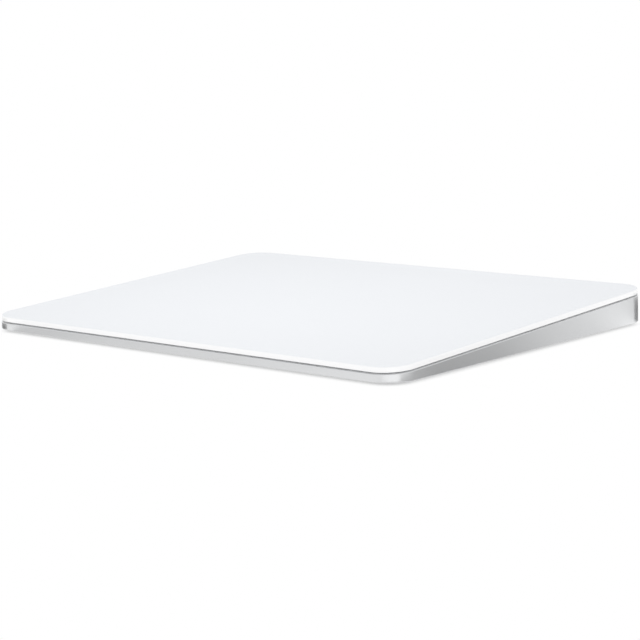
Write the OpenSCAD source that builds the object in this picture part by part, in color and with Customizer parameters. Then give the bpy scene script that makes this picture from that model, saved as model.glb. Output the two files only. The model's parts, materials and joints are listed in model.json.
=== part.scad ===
// Wireless desk trackpad: a white glass touch face on a thin aluminium wedge.
// Millimetres. +X is right, +Y is away from the user and +Z is up. The origin lies on the desk
// under the middle of the body. The touch face slopes, so its pieces are drawn in a sloped frame.

/* [Overall] */
// Width of the body, left to right
body_w = 160; // [144:1:200]
// Depth of the body, front to back
body_d = 114.9; // [113:0.1:150]
// Height of the touch face above the desk at the front edge
front_h = 4.9; // [4.9:0.1:7]
// Height of the touch face above the desk at the rear edge
rear_h = 10.9; // [10.6:0.1:14]
// Radius of the four upright corners
corner_r = 8.1; // [6:0.1:12]

/* [Touch stack] */
// Thickness of the glass
glass_t = 1.7; // [1.2:0.05:1.8]
// Radius of the glass's polished upper edge
glass_edge_r = 0.5; // [0.2:0.05:0.8]
// How far the glass stands in from the housing's sides
glass_setback = 0.1; // [0.05:0.05:0.3]
// Thickness of the film that bonds the glass to the sensor board
bond_t = 0.1; // [0.05:0.01:0.15]
// Thickness of the sensor board
sensor_t = 0.4; // [0.3:0.05:0.5]
// Gap between the sensor board's edge and the housing's inner walls
sensor_gap = 1.2; // [0.6:0.1:3]
// Thickness of the steel stiffener plate
stiff_t = 0.5; // [0.3:0.05:0.6]
// How far the touch face sinks when pressed hard
press_travel = 0.15; // [0.1:0.01:0.3]
// Gap left over the dust seal when the touch face is pressed hard
press_spare = 0.05; // [0.03:0.01:0.2]

/* [Housing] */
// Thickness of the side walls
wall_t = 2.2; // [1.6:0.1:2.6]
// Thickness of the housing's floor
floor_t = 0.6; // [0.5:0.05:0.7]
// Thickness of the bottom cover
cover_t = 0.6; // [0.5:0.05:0.7]
// Thickness of the adhesive film that holds the bottom cover
film_t = 0.1; // [0.05:0.01:0.15]
// Width of the housing's lower rim around the bottom cover
cover_rim = 3; // [2:0.1:5]
// How far the housing's lower rim stands above the bottom cover's face
rim_lift = 0.25; // [0:0.05:0.4]
// Seam between the bottom cover and the housing
cover_seam = 0.15; // [0.1:0.05:0.3]
// Radius of the housing's lower outer edge
bottom_edge_r = 0.5; // [0.3:0.05:0.8]
// Thickness of the dust seal on the housing's rim
seal_t = 0.1; // [0.06:0.01:0.3]
// Bare edge between the dust seal and the housing's sides
seal_setback = 0.4; // [0.3:0.05:0.6]
// Bare edge between the dust seal and the housing's inner walls
seal_edge = 0.1; // [0.05:0.05:0.3]

/* [Feet] */
// How far the feet stand proud of the bottom cover
foot_h = 0.4; // [0.3:0.05:0.5]
// Diameter of a foot
foot_d = 9; // [6:0.5:14]
// Depth of the pocket that a foot is stuck into
foot_pocket = 0.2; // [0.1:0.05:0.3]
// Distance from the body's sides to the feet's centres
foot_inset_x = 14; // [10:0.5:30]
// Distance from the body's front and rear to the feet's centres
foot_inset_y = 12; // [10:0.5:30]

/* [Force beams] */
// Thickness of the spring steel beams
beam_t = 0.4; // [0.3:0.05:0.5]
// Width of a beam at its root and its tip
beam_w = 9; // [8.5:0.1:11]
// Length of the root that is screwed down
beam_root_l = 10; // [8:0.1:12]
// Length of the narrow neck that bends
beam_neck_l = 7; // [5:0.1:9]
// Width of the neck
beam_neck_w = 5; // [4:0.1:8]
// Length of the tip under the gel pad
beam_tip_l = 9; // [8:0.1:11]
// Distance from the front edge to the front beams' centre line
front_beam_inset = 13.4; // [13:0.1:16]
// Distance from the rear edge to the rear beams' centre line
rear_beam_inset = 9; // [8.5:0.1:9.5]
// Thickness of a gel pad
gel_t = 0.4; // [0.3:0.05:0.45]
// Diameter of a gel pad
gel_d = 7; // [4:0.1:8]
// Spacing of the two screws in a beam's root
beam_screw_pitch = 5; // [4:0.1:5.5]

/* [Haptic actuator] */
// Thickness of the magnets' steel yoke
yoke_t = 0.4; // [0.3:0.05:0.5]
// Thickness of the magnets
magnet_t = 0.8; // [0.6:0.05:0.9]
// Gap between the magnets and the coils
air_gap = 0.4; // [0.35:0.05:0.5]
// Thickness of the flat coils
coil_t = 0.6; // [0.4:0.05:0.7]
// Thickness of the actuator's base plate
base_t = 0.3; // [0.3:0.05:0.4]
// Width of a coil, across its two long sides
coil_w = 22; // [18:0.5:23]
// Length of a coil, front to back
coil_l = 18; // [14:0.5:20]
// Width of a coil's winding
coil_band = 6; // [4:0.5:7]
// Distance between the two coils' centres
coil_pitch = 25; // [24:0.5:28]
// Gap between the actuator's base plate and the battery
actuator_gap = 2; // [1:0.5:8]

/* [Battery] */
// Width of the pouch cell
cell_w = 92; // [60:1:106]
// Depth of the pouch cell, front to back
cell_d = 30; // [20:0.5:32]
// Thickness of the pouch cell
cell_t = 3.4; // [2.5:0.1:3.6]
// Thickness of the battery's adhesive strips
tape_t = 0.15; // [0.1:0.01:0.2]
// Width of the battery's protection board
guard_w = 4; // [3:0.1:5]

/* [Main board] */
// Width of the main board
board_w = 33; // [33:0.5:38]
// Depth of the main board
board_d = 50; // [50:0.5:56]
// Thickness of the main board
board_t = 0.8; // [0.6:0.05:1]
// Height of the posts that carry the main board
board_post_h = 0.5; // [0.4:0.05:0.7]
// Gap between the main board and the housing's right wall
board_wall_gap = 3; // [1:0.1:5]
// Height of the sockets on the boards
socket_h = 0.6; // [0.5:0.05:0.8]
// Thickness of the ribbon cables
ribbon_t = 0.12; // [0.08:0.01:0.2]

/* [Charging port] */
// Width of the port's mouth
port_w = 8.34; // [8.34:0.01:9]
// Height of the port's mouth
port_h = 2.56; // [2.56:0.01:3]
// Wall of the port's shell
port_wall = 0.3; // [0.2:0.05:0.4]
// Length of the port's shell
port_l = 7; // [6:0.1:8]
// How far the port's mouth stands in from the rear face
port_inset = 0.4; // [0:0.05:1]
// Gap around the port's shell in the rear wall
port_gap = 0.1; // [0.05:0.01:0.2]
// Thickness of the port's own board
port_board_t = 0.8; // [0.6:0.05:1]

/* [Power switch] */
// Distance from the right side to the power switch's middle
switch_inset = 35; // [32:0.5:38]
// Length of the switch's knob
knob_l = 6.4; // [5:0.1:8]
// Height of the switch's knob
knob_h = 2.2; // [1.6:0.1:2.6]
// How far the knob's face stands in from the rear face
knob_inset = 0.3; // [0:0.05:0.6]
// Travel of the knob from off to on
knob_travel = 2.4; // [1.5:0.1:3]
// Gap around the knob in its slot
knob_gap = 0.15; // [0.1:0.01:0.3]
// Thickness of the knob's flange
flange_t = 0.6; // [0.5:0.05:0.8]

/* [Screws] */
// Thread diameter of the screws
screw_d = 1.6; // [1.4:0.1:1.8]
// Diameter of the screws' heads
head_d = 2.6; // [2.4:0.1:2.8]
// Height of the screws' heads
head_h = 0.4; // [0.3:0.05:0.45]

/* [Hidden] */
$fn = 64;

// Overlap that joins two shapes of one piece, and reach of a cut past a face
embed = 0.2;
reach = 2 * rear_h;
// Least gap between pieces that slide on each other
slip = 0.02;
// Gap between a ribbon and the socket it lies on
lay_gap = 0.05;
// Clearance of a screw in its hole, at its side and at its end
screw_fit = 0.05;
screw_end_gap = 0.1;

// Slope of the touch face, and its length along the slope
slope = atan((rear_h - front_h) / body_d);
mid_h = (front_h + rear_h) / 2;
slope_d = body_d / cos(slope);

// The housing's inner walls
inner_x = body_w / 2 - wall_t;
inner_y = body_d / 2 - wall_t;
inner_r = corner_r - wall_t;

// Heights of the layers under the floor, and of the floor
cover_z = foot_h;
film_z = cover_z + cover_t;
floor_z = film_z + film_t;
deck_z = floor_z + floor_t;

// Depths under the touch face, along the slope's normal
rim_w = -(glass_t + press_travel + press_spare + seal_t);
sensor_w = -(glass_t + bond_t);
stiff_w = sensor_w - sensor_t;
stack_w = stiff_w - stiff_t;
gel_w = stack_w - slip - gel_t;
beam_top_w = gel_w - slip;
beam_under_w = beam_top_w - beam_t;
gauge_t = 0.1;

// Height of the plane that lies w from the touch face, at a distance y from the middle
function height_at(y, w) = mid_h + (w + y * sin(slope)) / cos(slope);
// Place along the slope, in the plane w, of a point that lies y from the middle
function slope_v(y, w) = (y + w * sin(slope)) / cos(slope);
// Outline of a strip of thickness t on the left of a line of points
function strip_side(points, t) = [
    for (i = [0:len(points) - 1])
        let (a = points[max(i - 1, 0)], b = points[min(i + 1, len(points) - 1)], run = (b - a) / norm(b - a))
            points[i] + t * [-run.y, run.x]
];
function strip_outline(points, t) =
    let (side = strip_side(points, t)) concat(points, [for (i = [len(side) - 1:-1:0]) side[i]]);

// Sloped frame: X as the body's, Y up the slope, Z along the touch face's normal, from its middle
module on_slope() {
    translate([0, 0, mid_h]) rotate([slope, 0, 0]) children();
}

// Everything under the plane that lies w from the touch face
module under_slope(w) {
    on_slope() translate([-body_w, -body_d, w - reach]) cube([2 * body_w, 2 * body_d, reach]);
}

module round_rect(w, d, r) {
    square([w - 2 * r, d], center = true);
    square([w, d - 2 * r], center = true);
    for (x = [-1, 1], y = [-1, 1]) translate([x * (w / 2 - r), y * (d / 2 - r)]) circle(r);
}

module round_plate(w, d, r, t) {
    linear_extrude(t) round_rect(w, d, r);
}

// Slot outline with round ends, long in X
module stadium(w, h) {
    square([w - h, h], center = true);
    for (x = [-1, 1]) translate([x * (w - h) / 2, 0]) circle(d = h);
}

// Slab with round corners whose edge is the half section given, drawn outwards from a corner's centre
module edged_slab(w, d, r, h) {
    long_x = w - 2 * r;
    long_y = d - 2 * r;
    translate([-long_x / 2, -long_y / 2, 0]) cube([long_x, long_y, h]);
    for (a = [0, 180]) rotate([0, 0, a]) {
        translate([long_x / 2, 0, 0]) rotate([90, 0, 0]) linear_extrude(long_y, center = true) children();
        rotate([0, 0, 90]) translate([long_y / 2, 0, 0]) rotate([90, 0, 0])
            linear_extrude(long_x, center = true) children();
        translate([long_x / 2, long_y / 2, 0]) rotate_extrude(angle = 90) children();
        translate([-long_x / 2, long_y / 2, 0]) rotate([0, 0, 90]) rotate_extrude(angle = 90) children();
    }
}

// Half section of a slab with one rounded edge, at the top or at the bottom
module round_edge_section(r, h, edge, at_top) {
    difference() {
        square([r, h]);
        translate([r - edge, at_top ? h - edge : edge]) mirror([0, at_top ? 0 : 1]) difference() {
            square(2 * edge);
            circle(edge);
        }
    }
}

// Pan head screw with a six-sided socket, its head's underside at the origin
module screw(l) {
    socket_d = 1.2;
    socket_depth = 0.6 * head_h;
    difference() {
        union() {
            cylinder(d = head_d, h = head_h);
            translate([0, 0, -l]) cylinder(d = screw_d, h = l + embed);
        }
        translate([0, 0, head_h - socket_depth]) cylinder(d = socket_d, h = head_h, $fn = 6);
    }
}

module screw_hole(l) {
    translate([0, 0, -l]) cylinder(d = screw_d + 2 * screw_fit, h = l + reach);
}

// Upright post from the floor to the plane w under the touch face
module sloped_post(x0, x1, y0, y1, w) {
    intersection() {
        translate([x0, y0, deck_z - embed]) cube([x1 - x0, y1 - y0, reach]);
        under_slope(w);
    }
}

/* Housing and what closes it */

// Driving places of the pieces that the housing carries
front_beam_y = front_beam_inset - body_d / 2;
rear_beam_y = body_d / 2 - rear_beam_inset;
beam_wall_gap = 0.5;
corner_gap = 0.3;
beam_out_x = inner_x - beam_wall_gap;
root_x = beam_out_x - beam_root_l / 2;
neck_x = beam_out_x - beam_root_l - beam_neck_l / 2;
tip_x = beam_out_x - beam_root_l - beam_neck_l - beam_tip_l / 2;
post_edge = 0.5;
beam_bite = 0.75;
beam_screw_l = beam_t + beam_bite;

rear_clear = 1.45;
board_rear_y = rear_beam_y - beam_w / 2 - rear_clear;
board_right_x = inner_x - board_wall_gap;
board_corner = [board_right_x - board_w, board_rear_y - board_d];
board_z = deck_z + board_post_h;
board_top_z = board_z + board_t;
hole_inset = 2.4;
board_holes = [
    [hole_inset, hole_inset], [board_w - hole_inset, 8], [hole_inset, 42], [board_w - hole_inset, 41]
];
board_post_d = 3.6;
board_bite = 0.4;
board_screw_l = board_t + board_post_h + board_bite;

cell_board_gap = 3.8;
cell_right_x = board_corner.x - cell_board_gap - guard_w;
cell_rear_y = board_rear_y;
cell_z = deck_z + tape_t;

actuator_edge = 1.5;
base_ear = 3.5;
base_w = coil_pitch + coil_w + 2 * base_ear;
base_d = coil_l + 2 * actuator_edge;
actuator_y = cell_rear_y - cell_d - actuator_gap - base_d / 2;
magnet_under_w = stack_w - yoke_t - magnet_t;
coil_top_w = magnet_under_w - air_gap;
base_top_w = coil_top_w - coil_t;
base_under_w = base_top_w - base_t;
base_screw_inset = 1.7;
base_screw_x = base_w / 2 - base_screw_inset;
base_screw_y = base_d / 2 - base_screw_inset;
base_bite = 0.7;
base_screw_l = base_t + base_bite;

// The port and the switch sit half way up the rear face
rear_mid_z = (foot_h + height_at(body_d / 2, rim_w)) / 2;
port_out_w = port_w + 2 * port_wall;
port_out_h = port_h + 2 * port_wall;
port_mouth_y = body_d / 2 - port_inset;
port_board_w = 18;
port_board_d = 9.3;
port_board_top_z = rear_mid_z - port_out_h / 2;
port_board_z = port_board_top_z - port_board_t;
port_board_gap = 0.4;
port_board_y = inner_y - port_board_gap - port_board_d;
port_screw_x = 7.2;
port_screw_inset = 2.6;
port_screw_y = inner_y - port_screw_inset;
port_post_d = 3.4;
bracket_t = 0.3;
port_bite = 0.9;
port_screw_l = bracket_t + port_board_t + port_bite;

switch_x = body_w / 2 - switch_inset;
slot_l = knob_l + knob_travel + 2 * knob_gap;
slot_h = knob_h + 2 * knob_gap;
flange_gap = 0.15;
flange_y = inner_y - flange_gap - flange_t;
flange_lap = [1, 0.8];
flange_l = slot_l + knob_travel + 2 * flange_lap.x;
flange_h = slot_h + 2 * flange_lap.y;
prong_l = 1;
switch_gap = 0.2;
switch_front_y = flange_y - prong_l - switch_gap;
switch_body_w = 8.6;
switch_body_d = 3;
switch_body_h = 2.8;
switch_board_t = 0.6;
switch_board_w = 15;
switch_board_z = rear_mid_z - switch_body_h / 2 - switch_board_t;
switch_board_lap = [0.7, 0.5];
switch_board_y0 = switch_front_y - switch_body_d - switch_board_lap[0];
switch_board_y1 = switch_front_y + switch_board_lap[1];
switch_screw_x = 6.1;
switch_screw_y = switch_front_y - switch_body_d / 2;
switch_bite = 0.8;
switch_screw_l = switch_board_t + switch_bite;

module beam_root_screws() {
    for (x = [-1, 1], y = [front_beam_y, rear_beam_y], s = [-1, 1])
        on_slope() translate([x * root_x, slope_v(y, beam_top_w) + s * beam_screw_pitch / 2, beam_top_w])
            children();
}

module board_fixings() {
    for (p = board_holes) translate([board_corner.x + p.x, board_corner.y + p.y, board_top_z]) children();
}

module base_fixings() {
    for (x = [-1, 1], s = [-1, 1])
        on_slope()
            translate([x * base_screw_x, slope_v(actuator_y, base_top_w) + s * base_screw_y, base_top_w])
                children();
}

module port_fixings() {
    for (x = [-1, 1]) translate([x * port_screw_x, port_screw_y, port_board_top_z + bracket_t]) children();
}

module switch_fixings() {
    for (x = [-1, 1])
        translate([switch_x + x * switch_screw_x, switch_screw_y, switch_board_z + switch_board_t])
            children();
}

module housing_shell() {
    difference() {
        intersection() {
            translate([0, 0, cover_z + rim_lift]) edged_slab(body_w, body_d, corner_r, reach)
                round_edge_section(corner_r, reach, bottom_edge_r, false);
            under_slope(rim_w);
        }
        translate([0, 0, deck_z]) round_plate(2 * inner_x, 2 * inner_y, inner_r, reach);
        translate([0, 0, floor_z - reach])
            round_plate(body_w - 2 * cover_rim, body_d - 2 * cover_rim, corner_r - cover_rim, reach);
    }
}

module housing_posts() {
    post_half = beam_w / 2 + post_edge;
    for (x = [-1, 1], y = [front_beam_y, rear_beam_y])
        sloped_post(
            x > 0 ? beam_out_x - beam_root_l : -inner_x - embed,
            x > 0 ? inner_x + embed : beam_root_l - beam_out_x,
            y - post_half, y + post_half, beam_under_w
        );
    sloped_post(
        -base_w / 2 - post_edge, base_w / 2 + post_edge,
        actuator_y - base_d / 2 - post_edge, actuator_y + base_d / 2 + post_edge, base_under_w
    );
    for (p = board_holes) translate([board_corner.x + p.x, board_corner.y + p.y, deck_z - embed])
        cylinder(d = board_post_d, h = board_post_h + embed);
    for (x = [-1, 1]) translate([x * port_screw_x, port_screw_y, deck_z - embed])
        cylinder(d = port_post_d, h = port_board_z - deck_z + embed);
    translate([switch_x - switch_board_w / 2, switch_board_y0, deck_z - embed])
        cube([switch_board_w, switch_board_y1 - switch_board_y0, switch_board_z - deck_z + embed]);
}

// One-piece aluminium wedge: side walls, floor and the posts that everything is screwed to
module wedge_housing() color("silver") difference() {
    union() {
        housing_shell();
        housing_posts();
    }
    beam_root_screws() screw_hole(beam_screw_l);
    board_fixings() screw_hole(board_screw_l);
    base_fixings() screw_hole(base_screw_l);
    port_fixings() screw_hole(port_screw_l);
    switch_fixings() screw_hole(switch_screw_l);
    translate([0, body_d / 2 + reach, rear_mid_z]) rotate([90, 0, 0])
        linear_extrude(reach + wall_t + embed) stadium(port_out_w + 2 * port_gap, port_out_h + 2 * port_gap);
    translate([switch_x, body_d / 2 + reach, rear_mid_z]) rotate([90, 0, 0])
        linear_extrude(reach + wall_t + embed) stadium(slot_l, slot_h);
}

module foot_places() {
    for (x = [-1, 1], y = [-1, 1])
        translate([x * (body_w / 2 - foot_inset_x), y * (body_d / 2 - foot_inset_y), 0]) children();
}

module cover_outline(inset) {
    edge = cover_rim + cover_seam + inset;
    round_rect(body_w - 2 * edge, body_d - 2 * edge, corner_r - edge);
}

// Thin aluminium plate let into the housing's underside, with a pocket for each foot
module bottom_cover() color("gainsboro") difference() {
    translate([0, 0, cover_z]) linear_extrude(cover_t) cover_outline(0);
    foot_places() cylinder(d = foot_d + 2 * cover_seam, h = cover_z + foot_pocket);
}

// Adhesive frame between the bottom cover and the housing's floor
module cover_film() color("dimgray") {
    frame_w = 8;
    film_edge = 0.3;
    translate([0, 0, film_z]) linear_extrude(film_t) difference() {
        cover_outline(film_edge);
        square([body_w - 2 * (cover_rim + frame_w), body_d - 2 * (cover_rim + frame_w)], center = true);
    }
}

// Rubber disc with a softened lower edge, stuck into its pocket in the bottom cover
module foot(x, y) color("darkgray") {
    edge_r = 0.2;
    foot_t = foot_h + foot_pocket;
    translate([x * (body_w / 2 - foot_inset_x), y * (body_d / 2 - foot_inset_y), 0])
        rotate_extrude() round_edge_section(foot_d / 2, foot_t, edge_r, false);
}

// Grey foam ring on the rim that keeps dust out of the gap under the glass
module rim_seal() color("darkgray") {
    inside = wall_t - seal_edge;
    on_slope() translate([0, 0, rim_w]) linear_extrude(seal_t) difference() {
        round_rect(body_w - 2 * seal_setback, slope_d - 2 * seal_setback, corner_r - seal_setback);
        round_rect(body_w - 2 * inside, slope_d - 2 * inside, corner_r - inside);
    }
}

/* Force sensing supports under the touch stack */

module beam_outline() {
    difference() {
        union() {
            translate([root_x - beam_root_l / 2, -beam_w / 2]) square([beam_root_l, beam_w]);
            translate([neck_x - beam_neck_l / 2 - embed, -beam_neck_w / 2])
                square([beam_neck_l + 2 * embed, beam_neck_w]);
            translate([tip_x - beam_tip_l / 2, -beam_w / 2]) square([beam_tip_l, beam_w]);
        }
        for (s = [-1, 1]) translate([root_x, s * beam_screw_pitch / 2]) circle(d = screw_d + 2 * screw_fit);
    }
}

// Spring steel beam, screwed down at its root and free at its tip, cut to clear the housing's corner
module force_beam(x, y) color("lightsteelblue") intersection() {
    on_slope() translate([0, slope_v(y, beam_top_w), beam_under_w]) mirror([x < 0 ? 1 : 0, 0, 0])
        linear_extrude(beam_t) beam_outline();
    translate([0, 0, deck_z])
        round_plate(2 * (inner_x - corner_gap), 2 * (inner_y - corner_gap), inner_r - corner_gap, reach);
}

gauge_l = 4;
gauge_w = 3;

// Foil strain gauges on the undersides of the beams' necks
module strain_gauges() color("orange")
    for (x = [-1, 1], y = [front_beam_y, rear_beam_y])
        on_slope() translate([
            x * neck_x - gauge_l / 2, slope_v(y, beam_top_w) - gauge_w / 2, beam_under_w - gauge_t
        ]) cube([gauge_l, gauge_w, gauge_t]);

module beam_screws() color("dimgray") beam_root_screws() screw(beam_screw_l - screw_end_gap);

// Silicone gel discs between the beams' tips and the stiffener
module gel_pads() color("lightcyan")
    for (x = [-1, 1], y = [front_beam_y, rear_beam_y])
        on_slope() translate([x * tip_x, slope_v(y, beam_top_w), gel_w]) cylinder(d = gel_d, h = gel_t);

ribbon_w = 3;
lane_gap = 4;
gauge_socket = [25, 1];
gauge_socket_w = 6;
gauge_plug_x = board_corner.x + gauge_socket.x + gauge_socket_w / 2;

// One flat cable on the floor that joins the four gauges to the main board
module gauge_ribbon() color("goldenrod") {
    front_y = front_beam_y + beam_w / 2 + lane_gap;
    rear_y = rear_beam_y - gauge_w / 2 - ribbon_w / 2;
    rise = lay_gap + gauge_t;
    edge_y = board_corner.y - lay_gap;
    plug_z = board_top_z + socket_h + lay_gap;
    translate([0, 0, deck_z]) linear_extrude(ribbon_t) union() {
        for (y = [front_y, rear_y])
            translate([-neck_x - ribbon_w / 2, y]) square([2 * neck_x + ribbon_w, ribbon_w]);
        translate([neck_x - ribbon_w / 2, front_y]) square([ribbon_w, rear_y - front_y + ribbon_w]);
        for (x = [-1, 1]) {
            translate([x * neck_x - ribbon_w / 2, front_beam_y])
                square([ribbon_w, front_y - front_beam_y + embed]);
            translate([x * neck_x - ribbon_w / 2, rear_y]) square([ribbon_w, rear_beam_y - rear_y]);
        }
        translate([gauge_plug_x - ribbon_w / 2, front_y]) square([ribbon_w, edge_y - front_y]);
        translate([min(gauge_plug_x, neck_x), front_y]) square([abs(gauge_plug_x - neck_x), ribbon_w]);
    }
    for (x = [-1, 1], y = [front_beam_y, rear_beam_y - ribbon_t])
        translate([x * neck_x - ribbon_w / 2, y, deck_z])
            cube([ribbon_w, ribbon_t, height_at(y, beam_under_w) - rise - deck_z]);
    translate([gauge_plug_x - ribbon_w / 2, 0, 0]) rotate([90, 0, 90]) linear_extrude(ribbon_w)
        polygon(strip_outline([
            [edge_y, deck_z], [edge_y, plug_z], [board_corner.y + gauge_socket.y + front_socket.y, plug_z]
        ], ribbon_t));
}

/* Battery */

// Lithium pouch cell, stuck to the floor by its tape
module battery_cell() color("darkgray") {
    cell_r = 1;
    translate([cell_right_x - cell_w / 2, cell_rear_y - cell_d / 2, cell_z])
        round_plate(cell_w, cell_d, cell_r, cell_t);
}

guard_t = 0.8;
guard_d = 22;
guard_gap = 0.2;
guard_y = cell_rear_y - cell_d / 2;
tape_w = 10;
tape_edge = 6;
tape_inset = 1;

module battery_tape() color("white") {
    for (x = [cell_right_x - cell_w + tape_edge, cell_right_x - tape_edge - tape_w])
        translate([x, cell_rear_y - cell_d + tape_inset, deck_z])
            cube([tape_w, cell_d - 2 * tape_inset, tape_t]);
    translate([cell_right_x + guard_gap, guard_y - guard_d / 2, deck_z]) cube([guard_w, guard_d, tape_t]);
}

// Narrow protection board at the cell's right end
module battery_guard_board() color("darkgreen")
    translate([cell_right_x + guard_gap, guard_y - guard_d / 2, cell_z]) cube([guard_w, guard_d, guard_t]);

battery_socket = [0.5, 26];
coil_socket = [0.5, 5];
side_socket = [2.5, 7];

module battery_ribbon() color("goldenrod") {
    plug_z = board_top_z + socket_h + lay_gap;
    guard_top = cell_z + guard_t;
    edge_x = board_corner.x - lay_gap - ribbon_t;
    lap = 1;
    step = [1, 0.4];
    translate([0, board_corner.y + battery_socket.y + side_socket.y, 0]) rotate([90, 0, 0])
        linear_extrude(side_socket.y) polygon(strip_outline([
            [cell_right_x + guard_gap + lap, guard_top], [edge_x - step[0], guard_top],
            [edge_x - step[1], plug_z], [board_corner.x + battery_socket.x + side_socket.x, plug_z]
        ], ribbon_t));
}

/* Main board, its parts in its own corner's frame */

module on_board(z) {
    translate([board_corner.x, board_corner.y, z]) children();
}

module main_board() color("#1d5b3a") difference() {
    on_board(board_z) cube([board_w, board_d, board_t]);
    board_fixings() screw_hole(reach);
}

// Chip with its centre at p on the main board
module chip(p, size) {
    on_board(board_top_z) translate([p.x - size.x / 2, p.y - size.y / 2, 0]) cube(size);
}

processor_place = [17, 18];
processor_size = [8, 8, 0.8];
charging_place = [8, 39];
charging_size = [4, 4, 0.7];
driver_place = [8.5, 16.5];
driver_size = [5, 5, 0.8];
radio_place = [24, 32];

module processor_chip() color("#202124") chip(processor_place, processor_size);
module charging_chip() color("#202124") chip(charging_place, charging_size);
module haptic_chip() color("#202124") chip(driver_place, driver_size);

// Drawn steel can over the radio
module radio_shield() color("lightgray") {
    can = [11, 9, 1.3];
    can_wall = 0.2;
    difference() {
        chip(radio_place, can);
        on_board(board_top_z - embed)
            translate([radio_place.x - can.x / 2 + can_wall, radio_place.y - can.y / 2 + can_wall, 0])
                cube([can.x - 2 * can_wall, can.y - 2 * can_wall, can.z - can_wall + embed]);
    }
}

// Rows of small capacitors round the processor, and two inductors by the charging chip
module board_passives() color("peru") {
    part = [1, 0.5, 0.5];
    pitch = 2;
    row = 6.5;
    coil = [2.5, 2.5, 1];
    coil_row = [5, 9];
    for (i = [-3:2], s = [-1, 1]) chip(processor_place + [pitch * i, s * row], part);
    for (i = [-2:2]) chip(processor_place + [row + part.x, pitch * i], part);
    for (y = coil_row) chip(charging_place - [0, y], coil);
}

sensor_plug = [9, 1];
front_socket = [8, 3];
rear_socket = [3, 2.5];
port_socket = [2.6, 46.8];
switch_socket = [8.4, 46.8];

module socket(p, size) {
    on_board(board_top_z) translate([p.x, p.y, 0]) cube([size.x, size.y, socket_h]);
}

module board_sockets() color("ivory") {
    socket(sensor_plug, front_socket);
    socket(gauge_socket, [gauge_socket_w, front_socket.y]);
    socket(battery_socket, side_socket);
    socket(coil_socket, side_socket);
    socket(port_socket, rear_socket);
    socket(switch_socket, rear_socket);
}

module board_screws() color("dimgray") board_fixings() screw(board_screw_l - screw_end_gap);

antenna_place = [14, 43];
antenna_size = [16, 5, 3.2];

// Plastic block that holds the antenna up under the glass, clear of the metal
module antenna_carrier() color("#3a3b3d") on_board(board_top_z)
    translate([antenna_place.x, antenna_place.y, 0]) cube(antenna_size);

// Folded antenna track: notches from alternate sides leave one winding strip
module antenna_foil() color("gold") {
    edge = 0.5;
    foil_t = 0.1;
    track = [antenna_size.x - 2 * edge, antenna_size.y - 2 * edge];
    notch_w = 1.5;
    notch_x = 2.5;
    pitch = 4;
    turn_w = 1.2;
    on_board(board_top_z + antenna_size.z)
        translate([antenna_place.x + edge, antenna_place.y + edge, 0]) linear_extrude(foil_t) difference() {
            square(track);
            for (i = [0:2])
                translate([notch_x + pitch * i, i % 2 == 0 ? -embed : turn_w])
                    square([notch_w, track.y - turn_w + embed]);
        }
}

/* Charging port */

// Stainless tube that a plug slides into, through the rear wall
module port_shell() color("lightgray")
    translate([0, port_mouth_y, rear_mid_z]) rotate([90, 0, 0]) linear_extrude(port_l) difference() {
        stadium(port_out_w, port_out_h);
        stadium(port_w, port_h);
    }

tongue_w = 6.69;
tongue_t = 0.7;
tongue_l = 4.5;
plug_depth = 6.2;
port_end_l = port_l - plug_depth;

// Moulded end block and contact tongue inside the shell
module port_tongue() color("#1b1b1d") {
    end_y = port_mouth_y - port_l;
    translate([0, end_y + port_end_l, rear_mid_z]) rotate([90, 0, 0])
        linear_extrude(port_end_l) stadium(port_w - 2 * slip, port_h - 2 * slip);
    translate([-tongue_w / 2, end_y + port_end_l - embed, rear_mid_z - tongue_t / 2])
        cube([tongue_w, tongue_l + embed, tongue_t]);
}

// Twelve gold contacts on each face of the tongue
module port_contacts() color("gold") {
    contact_n = 12;
    contact_pitch = 0.5;
    contact_w = 0.25;
    contact_t = 0.05;
    contact_end = 0.8;
    contact_l = tongue_l - contact_end;
    for (i = [0:contact_n - 1], s = [-1, 1])
        translate([
            (i - (contact_n - 1) / 2) * contact_pitch - contact_w / 2, port_mouth_y - plug_depth,
            rear_mid_z + (s > 0 ? tongue_t / 2 : -tongue_t / 2 - contact_t)
        ]) cube([contact_w, contact_l, contact_t]);
}

port_plug_h = board_top_z + socket_h - port_board_top_z;
port_plug_inset = [4.5, 0.4];
port_plug_x = port_board_w / 2 - port_plug_inset.x;
port_plug_y = port_board_y + port_plug_inset.y;

// The port's own board, with a socket for its ribbon
module port_board() color("#1d5b3a") difference() {
    union() {
        translate([-port_board_w / 2, port_board_y, port_board_z])
            cube([port_board_w, port_board_d, port_board_t]);
        translate([port_plug_x, port_plug_y, port_board_top_z - embed])
            cube([rear_socket.x, rear_socket.y, port_plug_h + embed]);
    }
    port_fixings() screw_hole(reach);
}

// Steel strap that holds the port's shell down on its board
module port_bracket() color("lightgray") {
    strap_d = 3.4;
    strap_gap = 0.05;
    ear_edge = 0.4;
    ear_w = port_screw_x + head_d / 2 + ear_edge;
    arch_w = port_out_w / 2 + strap_gap;
    arch_z = port_board_top_z + port_out_h + strap_gap;
    difference() {
        translate([0, port_screw_y + strap_d / 2, 0]) rotate([90, 0, 0]) linear_extrude(strap_d) union() {
            for (x = [-1, 1]) {
                translate([x > 0 ? arch_w : -ear_w, port_board_top_z]) square([ear_w - arch_w, bracket_t]);
                translate([x > 0 ? arch_w : -arch_w - bracket_t, port_board_top_z])
                    square([bracket_t, arch_z - port_board_top_z + bracket_t]);
            }
            translate([-arch_w - bracket_t, arch_z]) square([2 * (arch_w + bracket_t), bracket_t]);
        }
        port_fixings() translate([0, 0, -bracket_t]) screw_hole(bracket_t);
    }
}

module port_screws() color("dimgray") port_fixings() screw(port_screw_l - screw_end_gap);

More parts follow.
